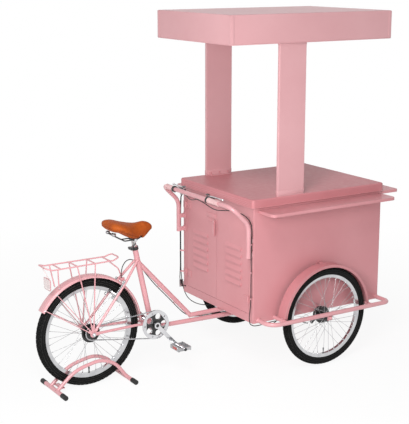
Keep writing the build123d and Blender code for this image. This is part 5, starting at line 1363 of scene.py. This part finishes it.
def makeFloor():
    mesh = bmesh.new()
    bmesh.ops.create_grid(mesh, x_segments=24, y_segments=24, size=studio["floorSize"])
    data = bpy.data.meshes.new("studioFloor")
    mesh.to_mesh(data)
    mesh.free()
    floor = bpy.data.objects.new("studioFloor", data)
    floor.location = (0, 0, -0.0005)
    bpy.context.scene.collection.objects.link(floor)
    paper = bpy.data.materials.new("studioPaper")
    paper.use_nodes = True
    tree = paper.node_tree
    link = tree.links.new
    tree.nodes.clear()
    output = newNode(tree, "ShaderNodeOutputMaterial", 700, 0)
    matte = newNode(tree, "ShaderNodeBsdfDiffuse", 0, 100)
    matte.inputs["Color"].default_value = (0.93, 0.93, 0.93, 1)
    glow = newNode(tree, "ShaderNodeEmission", 0, -100)
    glow.inputs["Color"].default_value = (1, 1, 1, 1)
    glow.inputs["Strength"].default_value = 1.0
    rays = newNode(tree, "ShaderNodeLightPath", -600, 300)
    seen = newNode(tree, "ShaderNodeMath", -400, 300, operation="ADD", use_clamp=True)
    link(rays.outputs["Is Camera Ray"], seen.inputs[0])
    link(rays.outputs["Is Glossy Ray"], seen.inputs[1])
    also = newNode(tree, "ShaderNodeMath", -200, 300, operation="ADD", use_clamp=True)
    link(seen.outputs[0], also.inputs[0])
    link(rays.outputs["Is Transmission Ray"], also.inputs[1])
    # the shadow is kept near the cart and the paper runs out to white behind it
    place = newNode(tree, "ShaderNodeTexCoord", -1000, -200)
    reach = newNode(tree, "ShaderNodeVectorMath", -800, -200, operation="LENGTH")
    link(place.outputs["Object"], reach.inputs[0])
    fade = newNode(tree, "ShaderNodeMapRange", -600, -200)
    fade.inputs["From Min"].default_value = 1.2
    fade.inputs["From Max"].default_value = 3.6
    fade.inputs["To Min"].default_value = 0.90
    fade.inputs["To Max"].default_value = 1.0
    link(reach.outputs["Value"], fade.inputs["Value"])
    share = newNode(tree, "ShaderNodeMath", -200, 0, operation="MULTIPLY")
    link(also.outputs[0], share.inputs[0])
    link(fade.outputs["Result"], share.inputs[1])
    blend = newNode(tree, "ShaderNodeMixShader", 400, 0)
    link(share.outputs[0], blend.inputs[0])
    link(matte.outputs[0], blend.inputs[1])
    link(glow.outputs[0], blend.inputs[2])
    link(blend.outputs[0], output.inputs[0])
    data.materials.append(paper)


def makeWorld():
    world = bpy.data.worlds.new("studioRoom")
    bpy.context.scene.world = world
    world.use_nodes = True
    tree = world.node_tree
    link = tree.links.new
    tree.nodes.clear()
    output = newNode(tree, "ShaderNodeOutputWorld", 600, 0)
    fill = newNode(tree, "ShaderNodeBackground", 0, 100)
    fill.inputs["Color"].default_value = (1, 1, 1, 1)
    fill.inputs["Strength"].default_value = studio["world"]
    white = newNode(tree, "ShaderNodeBackground", 0, -100)
    white.inputs["Color"].default_value = (1, 1, 1, 1)
    white.inputs["Strength"].default_value = 1.0
    rays = newNode(tree, "ShaderNodeLightPath", -600, 300)
    seen = newNode(tree, "ShaderNodeMath", -400, 300, operation="ADD", use_clamp=True)
    link(rays.outputs["Is Camera Ray"], seen.inputs[0])
    link(rays.outputs["Is Glossy Ray"], seen.inputs[1])
    also = newNode(tree, "ShaderNodeMath", -200, 300, operation="ADD", use_clamp=True)
    link(seen.outputs[0], also.inputs[0])
    link(rays.outputs["Is Transmission Ray"], also.inputs[1])
    blend = newNode(tree, "ShaderNodeMixShader", 300, 0)
    link(also.outputs[0], blend.inputs[0])
    link(fill.outputs[0], blend.inputs[1])
    link(white.outputs[0], blend.inputs[2])
    link(blend.outputs[0], output.inputs[0])


makeFloor()
makeWorld()
sunData = bpy.data.lights.new("softWindow", "SUN")
sunData.energy = studio["sun"]
sunData.angle = math.radians(studio["sunSpread"])
sun = bpy.data.objects.new("softWindow", sunData)
bpy.context.scene.collection.objects.link(sun)
sun.rotation_euler = Vector(studio["sunFrom"]).to_track_quat("Z", "Y").to_euler()
panelData = bpy.data.lights.new("softPanel", "AREA")
panelData.energy = studio["panel"]
panelData.shape = "DISK"
panelData.size = studio["panelSize"]
panel = bpy.data.objects.new("softPanel", panelData)
bpy.context.scene.collection.objects.link(panel)
panel.location = studio["panelAt"]
panel.rotation_euler = (Vector(studio["panelAt"]) - Vector(studio["panelTo"])).to_track_quat("Z", "Y").to_euler()
print("studio lit")
